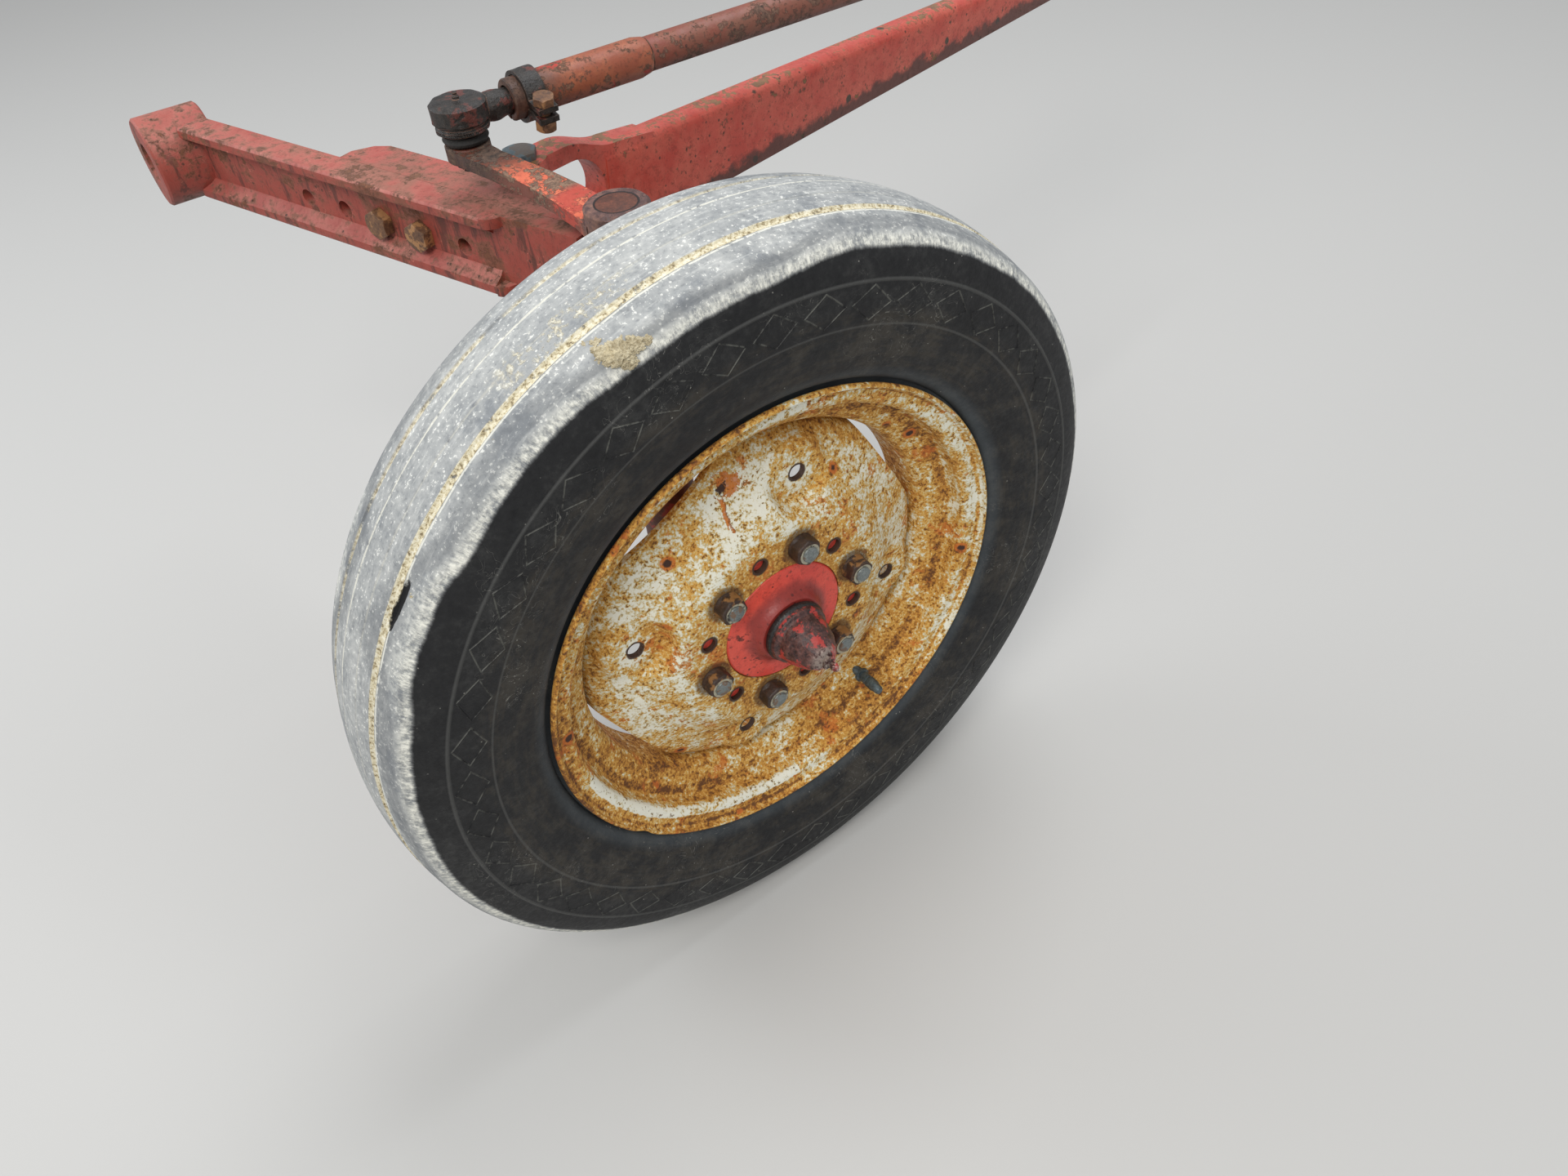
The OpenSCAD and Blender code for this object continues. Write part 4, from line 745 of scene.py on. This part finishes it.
def make_diamonds():
    """The rings of moulded diamonds, one on each side of the tyre."""
    diamonds = []
    for k in range(2 * DIAMONDS):
        side = 1 if k % 2 else -1
        middle = 2 * math.pi / DIAMONDS * (k // 2)
        shape = lathe([(0.94, -0.0005), (1.06, -0.0005), (1.0, 0.00055)], 4)
        for v in shape.verts:
            radius = DIAMOND_RING + v.co.y * 0.0128
            offset = side * (side_offset(radius) + v.co.z)
            v.co = at_clock(WHEEL + UP * radius + OUT * offset, middle + v.co.x * 0.0175 / DIAMOND_RING)
        bmesh.ops.recalc_face_normals(shape, faces=shape.faces)
        diamonds.append(shape)
    finished("moulded_diamonds", joined(diamonds), "tyre", "wheel", sharp=20)


def make_tyre():
    """A ribbed tyre, open to the rim, with a gash in its shoulder."""
    line = []
    for step in range(51):
        y = step * 0.001
        dip = 0.0014 if abs(y - 0.033) < 0.0026 else 0.0008 if step == 12 else 0.0
        line.append((tyre_radius(y) - dip, y))
    shoulder = [
        (RIDGE + 0.0012, side_offset(RIDGE + 0.0012)),
        (RIDGE, side_offset(RIDGE) + 0.0006),
        (RIDGE - 0.0012, side_offset(RIDGE - 0.0012)),
    ]
    for t in range(4, 91, 4):
        y = TREAD_HALF + SHOULDER_REACH * math.sin(math.radians(t)) ** 1.05
        if abs(tyre_radius(y) - RIDGE) > 0.0014:
            shoulder.append((tyre_radius(y), y))
    line += sorted(shoulder, reverse=True)
    for t in range(2, 91, 2):
        r = WIDEST - SIDE_DROP * math.sin(math.radians(t))
        y = SIDE_START + SIDE_REACH * math.cos(math.radians(t))
        line.append((r, y - 0.0007 if r < 0.2725 else y))
    line += [(0.2167, 0.0505), (0.2073, 0.0505), (0.2033, 0.0472), (0.2024, 0.0358), (0.2077, 0.0318)]
    inner = [
        (0.2331, 0.0505), (0.2593, 0.0615), (WIDEST, 0.0635), (0.3095, 0.062), (0.3191, 0.046),
        (0.326, 0.029), (0.329, 0.0),
    ]
    half = line + inner
    other = [(r, -y) for r, y in reversed(half[1:-1])]
    shape = turned(half + other, 288)
    for v in shape.verts:
        x, z, radius = from_axle(v.co)
        turn = math.atan2(x, z) - GASH_TURN
        across = (v.co.y - WHEEL.y - GASH_OFFSET) * 150 + turn * 5
        gash = max(0.0, 1 - (turn * turn * 90 + across * across) / 0.45)
        if gash and radius > 0.33:
            push_out(v, -0.003 * gash)
    finished("ribbed_tyre", shape, "tyre", "wheel", ["tyre"], sharp=30)


def make_rim():
    """A drop centre rim with a small dent in its edge."""
    well, seat, top, half = 0.1752, 0.2027, 0.2215, 0.0508
    outer = [
        (well, 0.0), (well, 0.020), (seat - 0.008, 0.029), (seat - 0.0015, 0.033), (seat, half - 0.003),
        (seat + 0.004, half), (seat + 0.011, half), (top - 0.0035, half + 0.0026),
        (top - 0.0009, half + 0.0052), (top, half + 0.0076), (top - 0.0006, half + 0.010),
        (top - 0.0018, half + 0.011),
    ]
    inner = [
        (top - 0.0036, half + 0.0106), (top - 0.0034, half + 0.0078), (top - 0.0052, half + 0.006),
        (seat + 0.0104, half + 0.0032), (seat + 0.0022, half + 0.0032), (seat - 0.0026, half - 0.001),
        (seat - 0.0032, half - 0.004), (seat - 0.0047, 0.034), (seat - 0.0127, 0.031),
        (well - 0.0032, 0.0216), (well - 0.0032, 0.0),
    ]
    line = cut_corners(outer + inner, 2)
    other = [(r, -y) for r, y in reversed(line[1:-1])]
    shape = turned(line + other, 240)
    dent = math.radians(129.3)
    for v in shape.verts:
        x, z, radius = from_axle(v.co)
        if v.co.y > WHEEL.y and radius > 0.214:
            reach = (math.atan2(x, z) - dent) * radius / 0.009
            push_out(v, -0.0026 * math.exp(-reach * reach) * min(1.0, (radius - 0.214) / 0.006))
    finished("drop_centre_rim", shape, "rim_paint", "wheel", ["rim"], sharp=50)


DISC_LINE = [
    (0.05875, 0), (0.080, 0), (0.094, 0), (0.103, -0.0024), (0.113, -0.008), (0.123, -0.0145),
    (0.133, -0.0195), (0.145, -0.024), (0.156, -0.028), (0.163, -0.0316), (0.1675, -0.036),
    (0.1696, -0.042), (0.1715, -0.052), (0.1715, -0.064),
]


def make_disc():
    """The dished disc: raised pads, dents, holes, and four flats against the rim."""
    line = divided(cut_corners(DISC_LINE, 2), 0.0022)
    shape = turned([(r, y + DISC_FACE) for r, y in line], 300, closed=False)
    pads = [at_clock(WHEEL + UP * PAD_CIRCLE, TURN + math.pi / 2 * k) for k in range(4)]
    dimples = [(107, -26), (98.8, -40), (93.6, -67.5), (129, 31.4), (128.5, 57.8), (135.5, 94.7)]
    dents = [at_clock(WHEEL + UP * r / 1000, math.radians(a)) for r, a in dimples]
    level = WHEEL.y + DISC_FACE - 0.0204  # the pads' face
    for v in shape.verts:
        flat = Vector((v.co.x, WHEEL.y, v.co.z))
        rise = 0.0
        for pad in pads:
            share = min(1.0, max(0.0, (0.034 - (flat - pad).length) / 0.011))
            share = share * share * (3 - 2 * share)
            rise += (level - v.co.y) * share
        for dent in dents:
            reach = (flat - dent).length / 0.0042
            rise -= 0.0016 * math.exp(-reach * reach)
        # waves of the pressed sheet
        rise -= 0.0007 * (0.5 + 0.5 * noise.noise(v.co * 26))
        v.co.y += rise
    for face in shape.faces:
        face.normal_update()
    if sum(f.normal.y * f.calc_area() for f in shape.faces) < 0:
        bmesh.ops.reverse_faces(shape, faces=shape.faces)
    piece = finished("dished_disc", shape, "disc_paint", "wheel", ["disc"], sharp=34)
    wall = piece.modifiers.new("wall", "SOLIDIFY")
    wall.thickness = 0.0046
    wall.offset = -1
    cuts = bmesh.new()
    holes = [(PAD_CIRCLE, TURN + math.pi / 2 * k, 0.00675) for k in range(4)]
    holes += [(STUD_CIRCLE, TURN + math.pi / 3 * k, 0.0078) for k in range(6)]
    holes += [(STUD_CIRCLE, TURN + math.pi / 3 * (k + 0.5), 0.006) for k in range(6)]
    lie = Matrix.Rotation(math.pi / 2, 4, "X")
    for r, angle, radius in holes:
        at = Matrix.Translation(at_clock(WHEEL + UP * r, angle) + OUT * 0.03)
        bmesh.ops.create_cone(
            cuts, cap_ends=True, segments=32, radius1=radius, radius2=radius, depth=0.09, matrix=at @ lie,
        )
    for k in range(4):
        angle = TURN + math.pi / 4 + math.pi / 2 * k
        for v in bmesh.ops.create_cube(cuts, size=1.0)["verts"]:
            local = Vector((v.co.x * 0.2, v.co.y * 0.12 + 0.01, v.co.z * 0.06 + 0.157 + 0.03))
            v.co = at_clock(WHEEL + local, angle)
    cutter = add("disc_cutter", mesh_of("disc_cutter", cuts))
    cut = piece.modifiers.new("cut", "BOOLEAN")
    cut.operation = "DIFFERENCE"
    cut.solver = "EXACT"
    cut.object = cutter
    graph = bpy.context.evaluated_depsgraph_get()
    solid = bpy.data.meshes.new_from_object(piece.evaluated_get(graph))
    piece.modifiers.clear()
    piece.data = solid
    solid.set_sharp_from_angle(angle=math.radians(34))
    bpy.data.objects.remove(cutter)


def make_hub():
    """A red hub: barrel behind the disc, flange, and a flared neck in front."""
    face = DISC_FACE
    back = DISC_FACE - 0.0049
    line = [
        (0.022, -0.052), (0.034, -0.052), (0.034, -0.082), (0.042, -0.082), (0.045, -0.079), (0.045, -0.042),
        (0.039, -0.030), (0.039, back - 0.027), (0.047, back - 0.018), (0.053, back - 0.013),
        (0.0905, back - 0.013), (0.092, back - 0.0115), (0.092, back - 0.001), (0.091, back), (0.05795, back),
        (0.05795, face - 0.0014), (0.0567, face - 0.0002), (0.046, face), (0.040, face + 0.0008),
        (0.0355, face + 0.0032), (0.0328, face + 0.0072), (0.031, face + 0.010), (0.030, face + 0.011),
        (0.024, face + 0.011), (0.024, 0.0159), (0.022, 0.0159),
    ]
    finished("turned_hub", turned(line, 144), "hub_red", "wheel", ["hub"], sharp=32)


def make_cap():
    """The grease cap: a ring, a lumpy cone and a grease nipple at its tip."""
    base = DISC_FACE + 0.011
    outside = [
        (0.022, -0.008), (0.024, -0.008), (0.024, 0.0003), (0.0275, 0.0003), (0.0289, 0.002), (0.0289, 0.005),
        (0.0275, 0.007), (0.0269, 0.011), (0.024, 0.013), (0.0232, 0.020), (0.0205, 0.030), (0.0165, 0.038),
        (0.0125, 0.0435), (0.0095, 0.046), (0.007, 0.047), (0.007, 0.050), (0.0042, 0.0505),
        (0.0036, 0.053), (0.0044, 0.0555), (0.0038, 0.058), (0.0016, 0.060), (0.0, 0.060),
    ]
    inside = [
        (0.0, 0.043), (0.009, 0.041), (0.0135, 0.036), (0.0175, 0.0285), (0.0205, 0.019), (0.022, 0.011),
    ]
    outside = divided([(r, base + y) for r, y in outside], 0.0016)
    shape = turned(outside + [(r, base + y) for r, y in inside], 96)
    for v in shape.verts:
        offset = v.co.y - WHEEL.y - base
        if offset > 0.012 and from_axle(v.co)[2] > 0.002:
            lump = noise.noise(v.co * 150) * 0.5 + noise.noise(v.co * 380) * 0.3
            share = min(1.0, (offset - 0.012) / 0.02)
            push_out(v, (lump - 0.45) * 0.0022 * share)
    finished("grease_cap_cone", shape, "greasy_steel", "wheel", ["grease_cap"], sharp=50)


def hexagon(across, low, high, chamfer):
    """A nut's body on +Z with rounded corners and a turned top."""
    shape = bmesh.new()
    bmesh.ops.create_circle(shape, cap_ends=True, radius=across / 2 / math.cos(math.pi / 6), segments=6)
    grown = bmesh.ops.extrude_face_region(shape, geom=shape.faces[:])["geom"]
    top = [g for g in grown if isinstance(g, bmesh.types.BMVert)]
    bmesh.ops.translate(shape, verts=top, vec=(0, 0, high - low))
    bmesh.ops.translate(shape, verts=shape.verts, vec=(0, 0, low))
    upright = [e for e in shape.edges if abs(e.verts[0].co.z - e.verts[1].co.z) > 1e-5]
    round_off = {"affect": "EDGES", "segments": 3, "profile": 0.5, "material": -1}
    bmesh.ops.bevel(shape, geom=upright, offset=across * 0.07, **round_off)
    edges = [e for e in shape.edges if min(v.co.z for v in e.verts) > high - 1e-5]
    bmesh.ops.bevel(shape, geom=edges, offset=chamfer, **round_off)
    bmesh.ops.recalc_face_normals(shape, faces=shape.faces)
    return shape


def placed(shape, matrix):
    bmesh.ops.transform(shape, matrix=matrix, verts=shape.verts)
    return shape


def joined(shapes):
    """Several shapes as one."""
    whole = bmesh.new()
    for shape in shapes:
        mesh = mesh_of("part", shape)
        whole.from_mesh(mesh)
        bpy.data.meshes.remove(mesh)
    return whole


def lathe(profile, steps=48):
    """A turned shape on +Z."""
    return turned(profile, steps, Vector(), UP, Vector((1, 0, 0)))


def outward_at(radius, angle, offset):
    """Stands a +Z shape on the wheel, pointing outboard."""
    at = at_clock(WHEEL + UP * radius, angle) + OUT * offset
    spun = Matrix.Rotation(-math.pi / 2, 4, "X")
    return Matrix.Translation(at) @ Matrix.Rotation(angle, 4, "Y") @ spun


def make_nuts():
    """Six nuts on their collars, and six threaded studs."""
    nuts, studs = [], []
    ring = [
        (0.00715, 0.0001), (0.0122, 0.0001), (0.0118, 0.0024), (0.0102, 0.0052), (0.0102, 0.011),
        (0.0094, 0.0131), (0.00715, 0.0131),
    ]
    thread = [(0.0, -0.0165)]
    for turn in range(16):
        z = -0.0165 + turn * 0.002
        thread += [(0.00712, z), (0.0066, z + 0.001)]
    thread += [(0.0066, 0.0148), (0.0056, 0.0151), (0.0, 0.0151)]
    button = [(0.0, -0.0224), (0.0092, -0.0224), (0.00965, -0.0219), (0.00965, -0.0180), (0.0, -0.0180)]
    for k in range(6):
        angle = TURN + math.pi / 3 * k
        place = outward_at(STUD_CIRCLE, angle, DISC_FACE)
        twist = Matrix.Rotation(0.35 * k + 0.2, 4, "Z")
        body = hexagon(0.0222, 0.0022, 0.0126, 0.0022)
        collar = lathe(ring)
        mark_edges(collar, [face for face in collar.faces if face.calc_center_median().z > 0.0125])
        nuts += [placed(body, place @ twist), placed(collar, place)]
        studs += [placed(lathe(thread, 32), place), placed(lathe(button, 32), place)]
    finished("wheel_nut_set", joined(nuts), "nut_rust", "wheel", ["wheel_nuts"], sharp=34)
    finished("wheel_stud_set", joined(studs), "stud_steel", "wheel", ["wheel_studs"], sharp=34)


def make_valve():
    """The valve's stem and its knurled cap."""
    place = outward_at(0.181, math.radians(-148.5), 0)
    stem = [
        (0.0, 0.014), (0.0052, 0.014), (0.0052, 0.017), (0.0047, 0.018), (0.0047, 0.0306), (0.0074, 0.0316),
        (0.0074, 0.0344), (0.0052, 0.0350), (0.0052, 0.042), (0.0047, 0.0426), (0.0047, 0.044), (0.0, 0.044),
    ]
    finished("valve_body", placed(lathe(stem, 40), place), "valve_steel", "wheel", ["valve_stem"], sharp=34)
    cap = [
        (0.0, 0.0441), (0.0056, 0.0441), (0.0056, 0.0520), (0.0048, 0.0535), (0.0042, 0.0585),
        (0.0034, 0.060), (0.0, 0.060),
    ]
    shape = lathe(cap, 48)
    for v in shape.verts:
        if 0.0440 < v.co.z < 0.0525 and v.co.xy.length > 0.005:
            notch = 0.0003 * (round(math.atan2(v.co.y, v.co.x) / (2 * math.pi) * 48) % 2)
            v.co.xy = v.co.xy * (1 - notch / v.co.xy.length)
    finished("valve_dust_cap", placed(shape, place), "valve_steel", "wheel", ["valve_cap"], sharp=34)


def make_mud():
    """Clots of dried mud on the tyre's shoulder."""
    clots = [  # turn in degrees, offset and size
        (18.6, 0.0590, 0.0100), (20.0, 0.0560, 0.0072), (16.8, 0.0600, 0.0066), (18.4, 0.0635, 0.0062),
        (20.2, 0.0500, 0.0054), (19.6, 0.0450, 0.0046), (15.4, 0.0615, 0.0040), (20.6, 0.0405, 0.0034),
        (53.0, 0.0450, 0.0030), (34.0, 0.0400, 0.0022),
    ]
    lumps = []
    for angle, offset, size in clots:
        shape = bmesh.new()
        bmesh.ops.create_icosphere(shape, subdivisions=5, radius=1.0)
        at = at_clock(WHEEL + UP * (tyre_radius(offset) - 0.001) + OUT * offset, math.radians(angle))
        for v in shape.verts:
            crumb = 0.30 * noise.noise(v.co * 1.7 + Vector((angle, 0, 0)))
            crumb += 0.24 * noise.noise(v.co * 4.5) + 0.14 * noise.noise(v.co * 11)
            v.co *= size * (0.85 + crumb)
            v.co.z *= 0.42
        slope = 38 if offset > 0.052 else 14
        turn = Matrix.Rotation(math.radians(angle), 4, "Y") @ Matrix.Rotation(-math.radians(slope), 4, "X")
        lumps.append(placed(shape, Matrix.Translation(at) @ turn))
    finished("shoulder_mud", joined(lumps), "dry_mud", "wheel", sharp=60)


# forged, rolled and bolted pieces: node, finish, width of the rounded edge, steps across it,
# the angle in degrees from which an edge is rounded, depth of lumps
WORN_NODES = [
    ("axle_beam", "beam_paint", 0.003, 3),
    ("axle_extension", "extension_paint", 0.004, 3),
    ("radius_rod", "rod_paint", 0.003, 3),
    ("steering_arm", "arm_paint", 0.003, 3),
    ("spindle", "knuckle_rust", 0.0012),
    ("dust_washer", "greasy_steel", 0.0005),
    ("thrust_bearing", "greasy_steel", 0.0006),
    ("ball_stud", "bare_steel", 0.0004),
    ("stud_nut", "greasy_steel", 0.0006),
    ("track_bolts", "bolt_rust", 0.0009),
    ("track_nuts", "bolt_rust", 0.0009),
    ("rod_bolt", "bolt_blue_grey", 0.0012),
    ("rod_nut", "bolt_rust", 0.0009),
    ("rod_ball", "bare_steel", 0),
    ("link_front", "joint_grease", 0.0010, 2, 30, 0.0014),
    ("link_rear", "joint_grease", 0.0010, 2, 30, 0.0014),
    ("link_sleeve", "sleeve_rust", 0.0006),
    ("link_tube", "tube_rust", 0.0004),
    ("link_clamps", "joint_grease", 0.0010, 2, 30, 0.0008),
    ("clamp_bolts", "bolt_rust", 0.0007),
    ("link_boots", "rubber", 0.0004),
    ("rear_stud", "bare_steel", 0.0004),
    ("spindle_nut", "bare_steel", 0.0004),
    ("hub_bearings", "bare_steel", 0.0006),
    ("hub_seal", "rubber", 0.0004),
    ("kingpin_bushes", "bush_bronze", 0.0003),
]


def make_studio():
    """A plain pale floor, soft lamps and the camera."""
    shape = bmesh.new()
    level = Matrix.Translation((0, 0, FLOOR - 0.0005))
    bmesh.ops.create_grid(shape, x_segments=1, y_segments=1, size=14, matrix=level)
    floor = add("floor", mesh_of("floor", shape))
    paper = Finish("pale_floor")
    paper.dress({"Base Color": (0.53, 0.52, 0.50, 1.0), "Roughness": 0.9})
    floor.data.materials.append(paper.material)

    world = bpy.data.worlds.new("studio")
    bpy.context.scene.world = world
    world.use_nodes = True
    sky = world.node_tree.nodes["Background"]
    sky.inputs["Color"].default_value = (0.93, 0.96, 1.0, 1.0)
    sky.inputs["Strength"].default_value = 0.52

    lamps = [
        ("key", (1.5, 2.2, 2.8), (-0.1, 0.5, -0.2), 1.5, 74, (1.0, 0.985, 0.96)),
        ("sky_panel", (-1.6, 0.2, 3.0), (-0.3, 0.4, -0.2), 2.0, 62, (0.95, 0.975, 1.0)),
        ("side", (1.8, -1.6, 1.6), (-0.2, 0.5, -0.1), 1.6, 34, (0.92, 0.96, 1.0)),
    ]
    for name, spot, aim, size, power, tint in lamps:
        light = bpy.data.lights.new(name, "AREA")
        light.shape = "SQUARE"
        light.size = size
        light.energy = power
        light.color = tint
        lamp = add(name, light)
        lamp.location = spot
        lamp.rotation_euler = (Vector(aim) - Vector(spot)).to_track_quat("-Z", "Y").to_euler()

    lens = bpy.data.cameras.new("camera")
    lens.sensor_fit = "HORIZONTAL"
    lens.sensor_width = 36
    lens.lens = lens.sensor_width * 1415 / 1920  # the photograph's focal length and width in pixels
    lens.clip_start = 0.02
    camera = add("camera", lens)
    right = Vector((-0.7996, 0.5971, -0.0644)).normalized()
    back = Vector((0.3879, 0.5954, 0.7036)).normalized()
    up = back.cross(right).normalized()
    right = up.cross(back)
    turn = Matrix((right, up, back)).transposed().to_4x4()
    camera.matrix_world = Matrix.Translation((0.1649, 1.2711, 0.4633)) @ turn
    bpy.context.scene.camera = camera


make_studio()
make_tyre()
make_diamonds()
make_rim()
make_disc()
make_hub()
make_cap()
make_nuts()
make_valve()
make_mud()
for row in WORN_NODES:
    worn_node(*row)

bpy.context.scene.view_settings.view_transform = "Standard"
